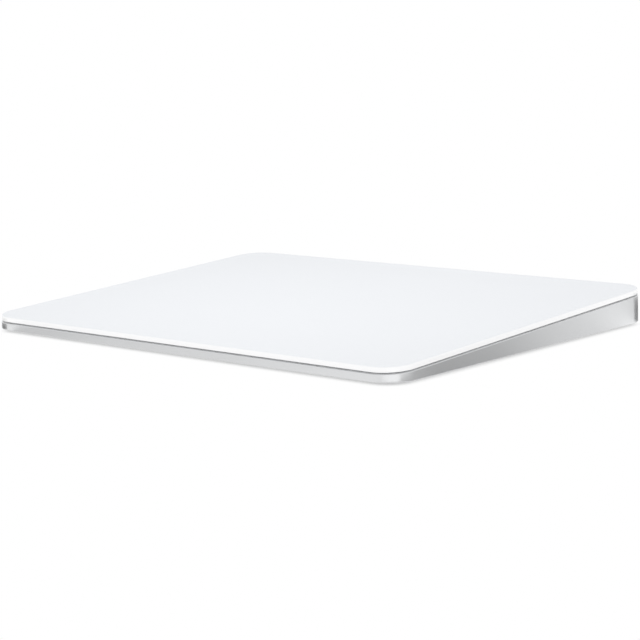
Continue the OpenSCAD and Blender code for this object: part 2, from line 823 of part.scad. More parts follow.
// Flat cable from the port's board to the main board's rear edge
module port_ribbon() color("goldenrod") {
    plug_x = board_corner.x + port_socket.x;
    translate([0, 0, board_top_z + socket_h + lay_gap]) linear_extrude(ribbon_t) union() {
        translate([port_plug_x, port_plug_y]) square([plug_x + rear_socket.x - port_plug_x, rear_socket.y]);
        translate([plug_x, board_corner.y + port_socket.y])
            square([rear_socket.x, port_plug_y + rear_socket.y - board_corner.y - port_socket.y]);
    }
}

/* Power switch, drawn at off */

knob_x = switch_x - knob_travel / 2;
nib_w = 1.2;
nib_h = 1.2;
nib_depth = 1;
nib_gap = 0.2;
prong_w = 0.8;
flag_t = 0.1;

// Moulded knob, the flange that keeps it in its slot and the fork that drives the switch
module power_knob() color("whitesmoke") translate([knob_x, 0, rear_mid_z]) {
    translate([0, body_d / 2 - knob_inset, 0]) rotate([90, 0, 0])
        linear_extrude(body_d / 2 - knob_inset - flange_y) stadium(knob_l, knob_h);
    translate([-flange_l / 2, flange_y, -flange_h / 2]) cube([flange_l, flange_t, flange_h]);
    for (x = [-1, 1])
        translate([x > 0 ? nib_w / 2 + slip : -nib_w / 2 - slip - prong_w, flange_y - prong_l, -nib_h / 2])
            cube([prong_w, prong_l + embed, nib_h]);
}

// Green strip on the flange that shows in the slot when the switch is on
module power_flag() color("limegreen") {
    lap = [0.8, 0.3];
    flag_l = knob_travel + lap.x;
    translate([knob_x - knob_l / 2 - flag_l - slip, flange_y + flange_t, rear_mid_z - slot_h / 2 - lap.y])
        cube([flag_l, flag_t, slot_h + 2 * lap.y]);
}

// Contact slide of the switch, held between the fork's prongs
module switch_nib() color("#f2f2f2")
    translate([knob_x - nib_w / 2, switch_front_y - nib_depth, rear_mid_z - nib_h / 2])
        cube([nib_w, nib_depth + switch_gap + prong_l - nib_gap, nib_h]);

module switch_body() color("#2a2b2d") difference() {
    translate([switch_x - switch_body_w / 2, switch_front_y - switch_body_d, rear_mid_z - switch_body_h / 2])
        cube([switch_body_w, switch_body_d, switch_body_h]);
    translate([
        switch_x - knob_travel / 2 - nib_w / 2 - nib_gap, switch_front_y - nib_depth - nib_gap,
        rear_mid_z - nib_h / 2 - nib_gap
    ]) cube([knob_travel + nib_w + 2 * nib_gap, nib_depth + nib_gap + reach, nib_h + 2 * nib_gap]);
}

module switch_board() color("#1d5b3a") difference() {
    translate([switch_x - switch_board_w / 2, switch_board_y0, switch_board_z])
        cube([switch_board_w, switch_board_y1 - switch_board_y0, switch_board_t]);
    switch_fixings() screw_hole(reach);
}

module switch_screws() color("dimgray") switch_fixings() screw(switch_screw_l - screw_end_gap);

// Short flat cable from the switch's board to the main board's rear edge
module switch_ribbon() color("goldenrod") {
    board_z1 = switch_board_z + switch_board_t;
    plug_z = board_top_z + socket_h + lay_gap;
    plug_x = board_corner.x + switch_socket.x;
    step = [2.5, 3.5];
    lap = 0.6;
    translate([plug_x, 0, 0]) rotate([90, 0, 90]) linear_extrude(rear_socket.x) polygon(strip_outline([
        [board_corner.y + switch_socket.y, plug_z], [board_rear_y + step[0], plug_z],
        [board_rear_y + step[1], board_z1], [switch_board_y0 + lap, board_z1]
    ], ribbon_t));
}

/* Haptic actuator: flat coils on the housing, magnets on the touch stack */

module at_actuator(w) {
    on_slope() translate([0, slope_v(actuator_y, base_top_w), w]) children();
}

module actuator_base() color("slategray") difference() {
    at_actuator(base_under_w) translate([-base_w / 2, -base_d / 2, 0]) cube([base_w, base_d, base_t]);
    base_fixings() screw_hole(reach);
}

module actuator_coils() color("#b5702f") {
    eye = [coil_w - 2 * coil_band, coil_l - 2 * coil_band];
    eye_r = min(1, 0.45 * eye.y);
    for (x = [-1, 1])
        at_actuator(base_top_w) translate([x * coil_pitch / 2, 0, 0]) linear_extrude(coil_t) difference() {
            round_rect(coil_w, coil_l, coil_band);
            round_rect(eye.x, eye.y, eye_r);
        }
}

module actuator_screws() color("dimgray") base_fixings() screw(base_screw_l - screw_end_gap);

magnet_gap = 1;

module magnet_yoke() color("slategray")
    at_actuator(stack_w - yoke_t) translate([-(coil_pitch + coil_w) / 2, -coil_l / 2, 0])
        cube([coil_pitch + coil_w, coil_l, yoke_t]);

// A pair of magnets over each coil's two long sides
module haptic_magnets() color("lightgray")
    for (x = [-1, 1], s = [-1, 1])
        at_actuator(magnet_under_w)
            translate([
                x * coil_pitch / 2 + s * (coil_w - coil_band) / 2 - coil_band / 2, -coil_l / 2 + magnet_gap, 0
            ]) cube([coil_band, coil_l - 2 * magnet_gap, magnet_t]);

// Flat cable from the coils to the main board
module coil_ribbon() color("goldenrod") {
    y1 = board_corner.y + coil_socket.y + side_socket.y;
    y0 = y1 - side_socket.y;
    lap = 0.6;
    run = 4;
    drop = 2;
    start_x = base_w / 2 - lap;
    plug_z = board_top_z + socket_h + lay_gap;
    start_z = height_at(y1, base_top_w) + lay_gap;
    translate([0, y1, 0]) rotate([90, 0, 0]) linear_extrude(y1 - y0) polygon(strip_outline([
        [start_x, start_z], [start_x + run, start_z],
        [board_corner.x - drop, plug_z], [board_corner.x + coil_socket.x + side_socket.x, plug_z]
    ], ribbon_t));
}

/* Touch stack */

glass_w = body_w - 2 * glass_setback;
glass_d = slope_d - 2 * glass_setback;
sensor_size = [2 * (inner_x - sensor_gap), 2 * (inner_y - sensor_gap)];
sensor_r = inner_r - sensor_gap;
stiff_gap = 1;
stiff_edge = 2;
stiff_size = [2 * (beam_out_x - beam_root_l - stiff_gap), sensor_size.y - 2 * stiff_edge];
stiff_r = 3;

// Glass with a polished round upper edge
module touch_glass() color("white")
    on_slope() translate([0, 0, -glass_t]) edged_slab(glass_w, glass_d, corner_r - glass_setback, glass_t)
        round_edge_section(corner_r - glass_setback, glass_t, glass_edge_r, true);

module glass_bond() color("lavender") {
    bond_edge = 0.5;
    on_slope() translate([0, 0, sensor_w])
        round_plate(sensor_size.x - 2 * bond_edge, sensor_size.y - 2 * bond_edge, sensor_r, bond_t);
}

module sensor_board() color("#1d5b3a")
    on_slope() translate([0, 0, stiff_w]) round_plate(sensor_size.x, sensor_size.y, sensor_r, sensor_t);

touch_chip_size = [8, 8, 0.8];
touch_chip_place = [-34, -20];
sensor_socket_x = board_corner.x + sensor_plug.x + front_socket.x / 2;
sensor_socket_gap = 10;
sensor_socket_y = board_corner.y - sensor_socket_gap;
window_gap = 2;

// Places under the sensor board where the stiffener is cut away
module stiffener_windows() {
    translate([touch_chip_place.x, touch_chip_place.y])
        square([touch_chip_size.x + 2 * window_gap, touch_chip_size.y + 2 * window_gap], center = true);
    translate([sensor_socket_x, slope_v(sensor_socket_y, stiff_w)])
        square([front_socket.x + 2 * window_gap, front_socket.y + 2 * window_gap], center = true);
}

module stiffener_plate() color("lightsteelblue")
    on_slope() translate([0, 0, stack_w]) linear_extrude(stiff_t) difference() {
        round_rect(stiff_size.x, stiff_size.y, stiff_r);
        stiffener_windows();
    }

module touch_chip() color("#202124")
    on_slope() translate([touch_chip_place.x, touch_chip_place.y, stiff_w - touch_chip_size.z / 2])
        cube(touch_chip_size, center = true);

module sensor_socket() color("ivory")
    on_slope() translate([sensor_socket_x, slope_v(sensor_socket_y, stiff_w), stiff_w - socket_h / 2])
        cube([front_socket.x, front_socket.y, socket_h], center = true);

// Looped flat cable that lets the touch stack move against the main board
module sensor_ribbon() color("goldenrod") {
    top_w = stiff_w - socket_h;
    y0 = sensor_socket_y - front_socket.y / 2;
    y1 = sensor_socket_y + front_socket.y / 2;
    under = lay_gap + ribbon_t;
    edge = 0.5;
    turn = [1, 0.6];
    rise = [1, 0.3];
    dip_y = (y1 + board_corner.y) / 2;
    dip_gap = 0.5;
    dip_z = deck_z + dip_gap;
    plug_z = board_top_z + socket_h + lay_gap;
    translate([sensor_socket_x - front_socket.x / 2 + edge, 0, 0]) rotate([90, 0, 90])
        linear_extrude(front_socket.x - 2 * edge) polygon(strip_outline([
            [y0, height_at(y0, top_w) - under], [y1, height_at(y1, top_w) - under],
            [y1 + turn.x, height_at(y1, top_w) - turn.y], [dip_y, dip_z],
            [board_corner.y - rise.x, plug_z - rise.y], [board_corner.y, plug_z],
            [board_corner.y + sensor_plug.y + front_socket.y, plug_z]
        ], ribbon_t));
}

wedge_housing();
bottom_cover();
cover_film();
rim_seal();
foot(-1, -1);  // front_left_foot
foot(1, -1);  // front_right_foot
foot(-1, 1);  // rear_left_foot
foot(1, 1);  // rear_right_foot
force_beam(-1, front_beam_y);  // front_left_beam
force_beam(1, front_beam_y);  // front_right_beam
force_beam(-1, rear_beam_y);  // rear_left_beam
force_beam(1, rear_beam_y);  // rear_right_beam
strain_gauges();
beam_screws();
gauge_ribbon();
battery_cell();
battery_tape();
battery_guard_board();
battery_ribbon();
main_board();
processor_chip();
radio_shield();
charging_chip();
haptic_chip();
board_passives();
board_sockets();
board_screws();
antenna_carrier();
antenna_foil();
port_shell();
port_tongue();
port_contacts();
port_board();
port_bracket();
port_screws();
port_ribbon();
switch_board();
switch_body();
switch_screws();
switch_ribbon();
actuator_base();
actuator_coils();
actuator_screws();
coil_ribbon();
power_knob();
power_flag();
switch_nib();
gel_pads();
touch_glass();
glass_bond();
sensor_board();
stiffener_plate();
touch_chip();
sensor_socket();
magnet_yoke();
haptic_magnets();
sensor_ribbon();
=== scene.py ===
"""A wireless desk trackpad: a white glass touch face on a thin aluminium wedge."""
import json
import math

import bmesh
import bpy
from mathutils import Matrix, Vector


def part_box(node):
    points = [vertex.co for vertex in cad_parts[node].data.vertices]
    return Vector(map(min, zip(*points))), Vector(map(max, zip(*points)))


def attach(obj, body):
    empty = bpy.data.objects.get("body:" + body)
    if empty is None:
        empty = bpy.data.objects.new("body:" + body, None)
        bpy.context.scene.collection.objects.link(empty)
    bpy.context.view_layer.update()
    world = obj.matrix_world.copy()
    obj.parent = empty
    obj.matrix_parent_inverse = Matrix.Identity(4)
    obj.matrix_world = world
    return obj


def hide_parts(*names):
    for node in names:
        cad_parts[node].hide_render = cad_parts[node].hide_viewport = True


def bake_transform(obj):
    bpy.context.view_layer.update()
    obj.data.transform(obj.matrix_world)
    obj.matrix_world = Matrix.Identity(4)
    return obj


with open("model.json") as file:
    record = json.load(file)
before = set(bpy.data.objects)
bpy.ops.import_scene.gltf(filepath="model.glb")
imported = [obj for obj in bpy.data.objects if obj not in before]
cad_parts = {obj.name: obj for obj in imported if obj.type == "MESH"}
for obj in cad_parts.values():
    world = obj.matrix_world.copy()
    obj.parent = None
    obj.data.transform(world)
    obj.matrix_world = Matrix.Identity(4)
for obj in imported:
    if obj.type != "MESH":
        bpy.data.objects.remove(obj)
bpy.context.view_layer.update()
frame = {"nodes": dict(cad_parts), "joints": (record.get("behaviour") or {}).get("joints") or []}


# Wedge housing. One piece of aluminium, milled as a tray whose rim slopes up to the rear, with posts
# on its floor for the pieces that are screwed down. It is bead-blasted and anodised silver.
mm = 0.001
housing_low, housing_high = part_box("wedge_housing")
body_width = housing_high.x - housing_low.x
body_depth = housing_high.y - housing_low.y
front_height = 4.9 * mm
rear_height = 10.9 * mm
corner_radius = 8.1 * mm
wall = 2.2 * mm
glass_thickness = 1.7 * mm
rim_gap = 0.3 * mm
lower_edge = 0.5 * mm
rim_edge = 0.18 * mm
cover_rim = 3.0 * mm
deck_height = 1.7 * mm
recess_height = 1.1 * mm
embed = 0.2 * mm
press_axis = Vector(next(joint["axis"] for joint in frame["joints"] if joint["name"] == "surface_press"))
touch_normal = -press_axis.normalized()
slope = math.atan2(-touch_normal.y, touch_normal.z)
touch_middle = Vector((0, 0, (front_height + rear_height) / 2))


def under_touch(depth):
    """The point that lies a depth under the middle of the touch face."""
    return touch_middle - touch_normal * depth


def choose(piece):
    """Makes a piece the only selected one, and the active one."""
    bpy.ops.object.select_all(action="DESELECT")
    piece.select_set(True)
    bpy.context.view_layer.objects.active = piece


def name_piece(name):
    """Names the primitive that was just added, and puts its place in its mesh."""
    piece = bpy.context.object
    piece.name = name
    piece.data.name = name
    bpy.ops.object.transform_apply(location=True, rotation=True, scale=True)
    return piece


def fresh_block(name, low, high):
    """A box between two corners."""
    low = Vector(low)
    high = Vector(high)
    bpy.ops.object.select_all(action="DESELECT")
    bpy.ops.mesh.primitive_cube_add(size=1, location=(low + high) / 2, scale=high - low)
    return name_piece(name)


def fresh_disc(name, middle, radius, low, high, sides=96):
    """An upright cylinder between two heights."""
    bpy.ops.object.select_all(action="DESELECT")
    bpy.ops.mesh.primitive_cylinder_add(
        vertices=sides, radius=radius, depth=high - low, location=(middle[0], middle[1], (low + high) / 2)
    )
    return name_piece(name)


def pick(piece, kind, test):
    """Goes into edit mode with only those edges or faces of the piece selected that pass the test."""
    choose(piece)
    bpy.ops.object.mode_set(mode="EDIT")
    bpy.ops.mesh.select_mode(type="EDGE" if kind == "edges" else "FACE")
    bpy.ops.mesh.select_all(action="DESELECT")
    shape = bmesh.from_edit_mesh(piece.data)
    for item in getattr(shape, kind):
        item.select_set(test(item))
    bmesh.update_edit_mesh(piece.data)


parallel = 0.999
plane_reach = 0.01 * mm


def along(direction):
    """A test for edges that run along a direction."""
    direction = Vector(direction)
    return lambda edge: abs((edge.verts[1].co - edge.verts[0].co).normalized().dot(direction)) > parallel


def in_plane(point, normal):
    """A test for edges that lie in a plane."""
    point = Vector(point)
    normal = Vector(normal)
    return lambda edge: all(abs((vertex.co - point).dot(normal)) < plane_reach for vertex in edge.verts)


def facing(direction, least_area):
    """A test for faces of at least that area that look along a direction."""
    direction = Vector(direction)
    return lambda face: face.normal.dot(direction) > parallel and face.calc_area() > least_area


def round_edges(piece, test, radius, segments):
    """Rounds the edges that pass the test."""
    pick(piece, "edges", test)
    bpy.ops.mesh.bevel(offset=radius, segments=segments, profile=0.5, affect="EDGES")
    bpy.ops.object.mode_set(mode="OBJECT")


def slice_off(piece, point, normal):
    """Cuts away what lies on the normal's side of a plane, and closes the cut."""
    pick(piece, "faces", lambda face: True)
    bpy.ops.mesh.bisect(plane_co=point, plane_no=normal, use_fill=True, clear_outer=True)
    bpy.ops.object.mode_set(mode="OBJECT")


def apply_modifier(piece, kind, **settings):
    """Adds a modifier with its settings and applies it."""
    choose(piece)
    modifier = piece.modifiers.new(kind.lower(), kind)
    for name, value in settings.items():
        setattr(modifier, name, value)
    bpy.ops.object.modifier_apply(modifier=modifier.name)


def combine(piece, operation, *tools):
    """Adds the tools to the piece or cuts them out of it, and removes them."""
    for tool in tools:
        apply_modifier(piece, "BOOLEAN", operation=operation, object=tool, solver="EXACT")
        bpy.data.objects.remove(tool)


crease = math.radians(35)


def smooth(piece):
    """Smooth shading that keeps flat faces flat and creases sharp."""
    choose(piece)
    bpy.ops.object.shade_smooth_by_angle(angle=crease)
    apply_modifier(piece, "WEIGHTED_NORMAL", keep_sharp=True, weight=100)


# Just under half the height, so that the two arcs of a round end meet and don't cross.
end_round = 0.4999
merge_reach = 0.005 * mm


def slot_block(name, middle, width, height, y_from, y_to):
    """A bar along Y with round ends to its section, long in X."""
    half = Vector((width / 2, 0, height / 2))
    centre = Vector((middle[0], 0, middle[1]))
    bar = fresh_block(name, centre - half + Vector((0, y_from, 0)), centre + half + Vector((0, y_to, 0)))
    round_edges(bar, along((0, 1, 0)), height * end_round, segments=14)
    pick(bar, "faces", lambda face: True)
    bpy.ops.mesh.remove_doubles(threshold=merge_reach)
    bpy.ops.object.mode_set(mode="OBJECT")
    return bar


rim_point = under_touch(glass_thickness + rim_gap)
housing = fresh_block("housing", housing_low, (housing_high.x, housing_high.y, rear_height))
round_edges(housing, along((0, 0, 1)), corner_radius, segments=32)
slice_off(housing, rim_point, touch_normal)
round_edges(housing, in_plane(housing_low, (0, 0, 1)), lower_edge, segments=6)
round_edges(housing, in_plane(rim_point, touch_normal), rim_edge, segments=3)
tray_area = body_width * body_depth / 2

# The tray's floor is the rim's inset face, sunk and laid level. The cover's recess is pushed up from below.
pick(housing, "faces", facing(touch_normal, tray_area))
bpy.ops.mesh.inset(thickness=wall - rim_edge)
bpy.ops.mesh.extrude_region_move(TRANSFORM_OT_translate={"value": (0, 0, -1 * mm)})
bpy.ops.transform.resize(value=(1, 1, 0), center_override=(0, 0, deck_height))
bpy.ops.object.mode_set(mode="OBJECT")
pick(housing, "faces", facing((0, 0, -1), tray_area))
bpy.ops.mesh.inset(thickness=cover_rim - lower_edge)
bpy.ops.mesh.extrude_region_move(TRANSFORM_OT_translate={"value": (0, 0, recess_height - housing_low.z)})
bpy.ops.object.mode_set(mode="OBJECT")

# The posts on the floor stand under what they carry.
inner_width = body_width / 2 - wall
inner_depth = body_depth / 2 - wall
beam_names = ("front_left_beam", "front_right_beam", "rear_left_beam", "rear_right_beam")
beam_root = 10 * mm
beam_under = 3.54 * mm
post_edge = 0.5 * mm
post_sides = 48
plinth_under = 5.2 * mm
board_hole_places = ((2.4, 2.4), (30.6, 8), (2.4, 42), (30.6, 41))
board_post_radius = 1.8 * mm
port_screw_x = 7.2 * mm
port_screw_inset = 2.6 * mm
port_screw_y = inner_depth - port_screw_inset
port_post_radius = 1.7 * mm


def sloped_post(low, high, depth):
    """A post from the floor to a plane under the touch face, between two corners seen from above."""
    post = fresh_block("post", (low[0], low[1], deck_height - embed), (high[0], high[1], rear_height))
    slice_off(post, under_touch(depth), touch_normal)
    return post


for node in beam_names:
    beam_low, beam_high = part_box(node)
    if beam_low.x > 0:
        ends = (beam_high.x - beam_root, inner_width + embed)
    else:
        ends = (-inner_width - embed, beam_low.x + beam_root)
    combine(housing, "UNION", sloped_post(
        (ends[0], beam_low.y - post_edge), (ends[1], min(beam_high.y + post_edge, inner_depth)), beam_under
    ))
plinth_low, plinth_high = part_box("actuator_base")
combine(housing, "UNION", sloped_post(
    (plinth_low.x - post_edge, plinth_low.y - post_edge),
    (plinth_high.x + post_edge, plinth_high.y + post_edge), plinth_under
))
board_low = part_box("main_board")[0]
for place in board_hole_places:
    combine(housing, "UNION", fresh_disc(
        "post", (board_low.x + place[0] * mm, board_low.y + place[1] * mm), board_post_radius,
        deck_height - embed, board_low.z, post_sides
    ))
port_board_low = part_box("port_board")[0]
for side in (-1, 1):
    combine(housing, "UNION", fresh_disc(
        "post", (side * port_screw_x, port_screw_y), port_post_radius,
        deck_height - embed, port_board_low.z, post_sides
    ))
switch_board_low, switch_board_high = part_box("switch_board")
combine(housing, "UNION", fresh_block(
    "post", (switch_board_low.x, switch_board_low.y, deck_height - embed),
    (switch_board_high.x, switch_board_high.y, switch_board_low.z)
))

# The rear wall has a mouth for the charging port and a slot for the power switch.
shell_low, shell_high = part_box("port_shell")
rear_middle = (shell_low.z + shell_high.z) / 2
port_clearance = 0.1 * mm
slot_width = 9.1 * mm
slot_height = 2.5 * mm
slot_from_side = 35 * mm
slot_middle = body_width / 2 - slot_from_side
mouth_edge = 0.12 * mm
mouth_reach = 2 * mm
cut_depth = 1.4 * wall
rear_cut = (body_depth / 2 - cut_depth, body_depth)
combine(
    housing, "DIFFERENCE",
    slot_block(
        "port_hole", (0, rear_middle), shell_high.x - shell_low.x + 2 * port_clearance,
        shell_high.z - shell_low.z + 2 * port_clearance, *rear_cut
    ),
    slot_block("knob_slot", (slot_middle, rear_middle), slot_width, slot_height, *rear_cut),
)
in_rear_face = in_plane((0, body_depth / 2, 0), (0, 1, 0))
round_edges(
    housing,
    lambda edge: in_rear_face(edge) and all(abs(v.co.z - rear_middle) < mouth_reach for v in edge.verts),
    mouth_edge, segments=2
)
smooth(housing)


class Wire:
    """A socket that takes part in Python sums: each operator adds a Math node."""

    def __init__(self, tree, socket):
        self.tree = tree
        self.socket = socket

    def math(self, operation, *values):
        return self.tree.node("ShaderNodeMath", {"operation": operation}, dict(enumerate(values)))

    def __add__(self, other):
        return self.math("ADD", self, other)

    def __radd__(self, other):
        return self.math("ADD", other, self)

    def __sub__(self, other):
        return self.math("SUBTRACT", self, other)

    def __rsub__(self, other):
        return self.math("SUBTRACT", other, self)

    def __mul__(self, other):
        return self.math("MULTIPLY", self, other)

    def __rmul__(self, other):
        return self.math("MULTIPLY", other, self)

    def __truediv__(self, other):
        return self.math("DIVIDE", self, other)

    def __rtruediv__(self, other):
        return self.math("DIVIDE", other, self)

    def __abs__(self):
        return self.math("ABSOLUTE", self)


class Nodes:
    """A node tree in the making: node() adds any node, with its settings and then its sockets. plan() gives
    a point's X and Y, and past() how far a value is past its start, or zero."""

    def __init__(self, tree):
        self.tree = tree

    def fill(self, node, sockets):
        for key, value in sockets.items():
            if isinstance(value, Wire):
                self.tree.links.new(value.socket, node.inputs[key])
            else:
                node.inputs[key].default_value = value

    def node(self, kind, settings=None, sockets=None, out=0):
        node = self.tree.nodes.new(kind)
        for name, value in (settings or {}).items():
            if name == "stops":
                stops = node.color_ramp.elements
                stops[0].position = value[0][0]
                stops[1].position = value[-1][0]
                for position, _ in value[1:-1]:
                    stops.new(position)
                for stop, (_, tone) in zip(stops, value):
                    stop.color = (tone, tone, tone, 1)
            else:
                setattr(node, name, value)
        self.fill(node, sockets or {})
        return Wire(self, node.outputs[out])

    def place(self, stretch=(1, 1, 1)):
        place = self.node("ShaderNodeTexCoord", out="Object")
        if stretch == (1, 1, 1):
            return place
        return self.node("ShaderNodeMapping", sockets={"Vector": place, "Scale": stretch})

    def plan(self):
        place = self.node("ShaderNodeSeparateXYZ", sockets={0: self.place()})
        return place, Wire(self, place.socket.node.outputs["Y"])

    def past(self, value, start):
        return self.node("ShaderNodeMath", {"operation": "MAXIMUM"}, {0: value - start, 1: 0.0})

    def noise(self, scale, detail=2.0, rough=0.5, stretch=(1, 1, 1)):
        return self.node("ShaderNodeTexNoise", sockets={
            "Vector": self.place(stretch), "Scale": scale, "Detail": detail, "Roughness": rough
        })

    def ramp(self, value, *stops):
        return self.node("ShaderNodeValToRGB", {"stops": stops}, {0: value})

    def mix(self, share, first, second):
        return self.node(
            "ShaderNodeMix", {"data_type": "RGBA"}, {"Factor": share, "A": first, "B": second}, out="Result"
        )

    def bump(self, height, strength, distance):
        return self.node("ShaderNodeBump", sockets={
            "Height": height, "Strength": strength, "Distance": distance
        })


class Finish(Nodes):
    """A material in the making: surface() sets its shader's sockets."""

    def __init__(self, name):
        self.material = bpy.data.materials.new(name)
        self.material.use_nodes = True
        super().__init__(self.material.node_tree)
        self.shader = self.tree.nodes["Principled BSDF"]

    def surface(self, sockets):
        self.fill(self.shader, sockets)
        return self.material


def shade(red, green, blue):
    """A colour as the shader takes it."""
    return (red, green, blue, 1)


def blasted_aluminium(name, light, dark, roughness):
    """Bead-blasted, anodised aluminium: fine dimples with a slow drift of tone."""
    finish = Finish(name)
    dimples = finish.noise(6500, detail=3, rough=0.6)
    drift = finish.noise(35)
    return finish.surface({
        "Base Color": finish.mix(dimples * 0.5 + drift * 0.5, dark, light),
        "Metallic": 1.0,
        "Roughness": roughness - 0.05 + dimples * 0.1,
        "Normal": finish.bump(dimples, strength=0.12, distance=0.02 * mm),
    })


def fit(piece, body, slot, *nodes):
    """Lets a piece ride on a body in place of its solids."""
    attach(piece, body)
    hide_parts(*nodes)


housing.data.materials.append(blasted_aluminium(
    "silver_anodised", shade(0.735, 0.742, 0.75), shade(0.665, 0.672, 0.68), roughness=0.32
))
fit(housing, "base", "housing_aluminium", "wedge_housing")


# Bottom cover. A thin anodised aluminium plate, let into the housing's underside on an adhesive
# film, with a shallow round pocket for each foot.
cover_low, cover_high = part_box("bottom_cover")
cover_edge = 0.1 * mm
cover_seam = 0.15 * mm
pocket_depth = 0.2 * mm
foot_names = ("front_left_foot", "front_right_foot", "rear_left_foot", "rear_right_foot")


def middle_of(node):
    """The middle of a node's box."""
    low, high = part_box(node)
    return (low + high) / 2


def width_of(node):
    """A node's width."""
    low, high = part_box(node)
    return high.x - low.x


def dress(finish, *nodes):
    """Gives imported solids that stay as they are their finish."""
    for node in nodes:
        for slot in frame["nodes"][node].material_slots:
            slot.material = finish


cover = fresh_block("bottom_cover_plate", cover_low, cover_high)
round_edges(cover, along((0, 0, 1)), corner_radius - cover_rim - cover_seam, segments=24)
round_edges(cover, in_plane(cover_low, (0, 0, 1)), cover_edge, segments=3)
for node in foot_names:
    combine(cover, "DIFFERENCE", fresh_disc(
        "pocket", middle_of(node), width_of(node) / 2 + cover_seam, 0, cover_low.z + pocket_depth
    ))
smooth(cover)
cover.data.materials.append(blasted_aluminium(
    "cover_anodised", shade(0.68, 0.685, 0.69), shade(0.61, 0.615, 0.62), roughness=0.46
))
fit(cover, "base", "cover_aluminium", "bottom_cover")
film = Finish("adhesive_film")
film_mottle = film.noise(900)
adhesive = film.surface({
    "Base Color": film.mix(film_mottle, shade(0.17, 0.17, 0.18), shade(0.24, 0.24, 0.25)),
    "Roughness": 0.4 + film_mottle * 0.2,
})
dress(adhesive, "cover_film")


# Feet. Four moulded rubber discs, each with a softened rim and a shallow dish in its face. They are stuck
# into the cover's pockets.
foot_rim = 0.18 * mm
dish_rim = 0.7 * mm
dish_depth = 0.06 * mm
rubber = Finish("foot_rubber")
pores = rubber.noise(5200, detail=3, rough=0.6)
foot_rubber = rubber.surface({
    "Base Color": rubber.mix(pores, shade(0.4, 0.405, 0.41), shade(0.5, 0.505, 0.51)),
    "Roughness": 0.62 + pores * 0.2,
    "Normal": rubber.bump(pores, strength=0.3, distance=0.03 * mm),
})
for node in foot_names:
    foot_low, foot_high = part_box(node)
    foot = fresh_disc(
        node.replace("_foot", "_pad"), middle_of(node), width_of(node) / 2, foot_low.z, foot_high.z
    )
    round_edges(foot, in_plane(foot_low, (0, 0, 1)), foot_rim, segments=4)
    pick(foot, "faces", facing((0, 0, -1), mm * mm))
    bpy.ops.mesh.inset(thickness=dish_rim)
    bpy.ops.mesh.inset(thickness=dish_rim / 2, depth=-dish_depth)
    bpy.ops.object.mode_set(mode="OBJECT")
    smooth(foot)
    foot.data.materials.append(foot_rubber)
    fit(foot, "base", "foot_rubber", node)


# Battery. A lithium pouch cell in laminated foil, with its side seams folded up against it and amber tape
# over its right end. White tape holds it to the floor, with a protection board and a flat cable beside it.
cell_low, cell_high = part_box("battery_cell")
cell_corner = 1.0 * mm
cell_edge = 0.6 * mm
seam_thickness = 0.25 * mm
seam_low = 0.5 * mm
seam_high = 0.7 * mm
seam_end = 2.5 * mm
seam_edge = 0.1 * mm
end_tape = 7 * mm
cell = fresh_block(
    "battery_pouch", cell_low + Vector((0, seam_thickness, 0)), cell_high - Vector((0, seam_thickness, 0))
)
round_edges(cell, along((0, 0, 1)), cell_corner, segments=8)
round_edges(cell, in_plane(cell_high, (0, 0, 1)), cell_edge, segments=6)
round_edges(cell, in_plane(cell_low, (0, 0, 1)), cell_edge, segments=6)
for seam_y in (cell_low.y, cell_high.y - seam_thickness - embed):
    seam = fresh_block(
        "seam", (cell_low.x + seam_end, seam_y, cell_low.z + seam_low),
        (cell_high.x - seam_end, seam_y + seam_thickness + embed, cell_high.z - seam_high)
    )
    round_edges(seam, along((1, 0, 0)), seam_edge, segments=2)
    combine(cell, "UNION", seam)
smooth(cell)
pouch = Finish("pouch_foil")
crinkle = pouch.noise(240, detail=5, rough=0.62)
painted_sheen = pouch.noise(30)
taped = pouch.node("ShaderNodeMath", {"operation": "GREATER_THAN"}, {
    0: pouch.plan()[0], 1: cell_high.x - end_tape
})
# The foil's colour drifts lighter and darker in broad patches: a painted sheen.
foil_tone = pouch.mix(painted_sheen, shade(0.44, 0.45, 0.46), shade(0.56, 0.57, 0.58))
tape_tone = pouch.mix(crinkle, shade(0.4, 0.17, 0.03), shade(0.52, 0.25, 0.05))
cell.data.materials.append(pouch.surface({
    "Base Color": pouch.mix(taped, foil_tone, tape_tone),
    "Metallic": 0.9 - taped * 0.9,
    "Roughness": 0.3 + crinkle * 0.2,
    "Normal": pouch.bump(crinkle + taped * 0.5, strength=0.2, distance=0.1 * mm),
}))
fit(cell, "base", "battery_foil", "battery_cell")
tape = Finish("white_tape")
tape_weave = tape.noise(1800, stretch=(1, 6, 1))
dress(tape.surface({
    "Base Color": tape.mix(tape_weave, shade(0.74, 0.74, 0.72), shade(0.84, 0.84, 0.82)),
    "Roughness": 0.6 + tape_weave * 0.2,
}), "battery_tape")


weld_reach = 0.001 * mm
flat_angle = math.radians(1)
sharp_angle = math.radians(50)


def eased(node, name, body, finish, radius, bends=()):
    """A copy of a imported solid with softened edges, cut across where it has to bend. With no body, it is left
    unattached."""
    source = frame["nodes"][node]
    piece = bpy.data.objects.new(name, source.data.copy())
    bpy.context.scene.collection.objects.link(piece)
    piece.data.name = name
    choose(piece)
    bpy.ops.mesh.customdata_custom_splitnormals_clear()
    bpy.ops.object.mode_set(mode="EDIT")
    bpy.ops.mesh.select_all(action="SELECT")
    bpy.ops.mesh.remove_doubles(threshold=weld_reach)
    bpy.ops.mesh.dissolve_limited(angle_limit=flat_angle)
    bpy.ops.object.mode_set(mode="OBJECT")
    round_edges(
        piece, lambda edge: edge.is_manifold and edge.calc_face_angle() > sharp_angle, radius, segments=2
    )
    for point, normal in bends:
        pick(piece, "faces", lambda face: True)
        bpy.ops.mesh.bisect(plane_co=point, plane_no=normal)
        bpy.ops.object.mode_set(mode="OBJECT")
    smooth(piece)
    piece.data.materials.clear()
    piece.data.materials.append(finish)
    if body:
        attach(piece, body)
    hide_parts(node)
    return piece


track_pitch = 0.6 * mm


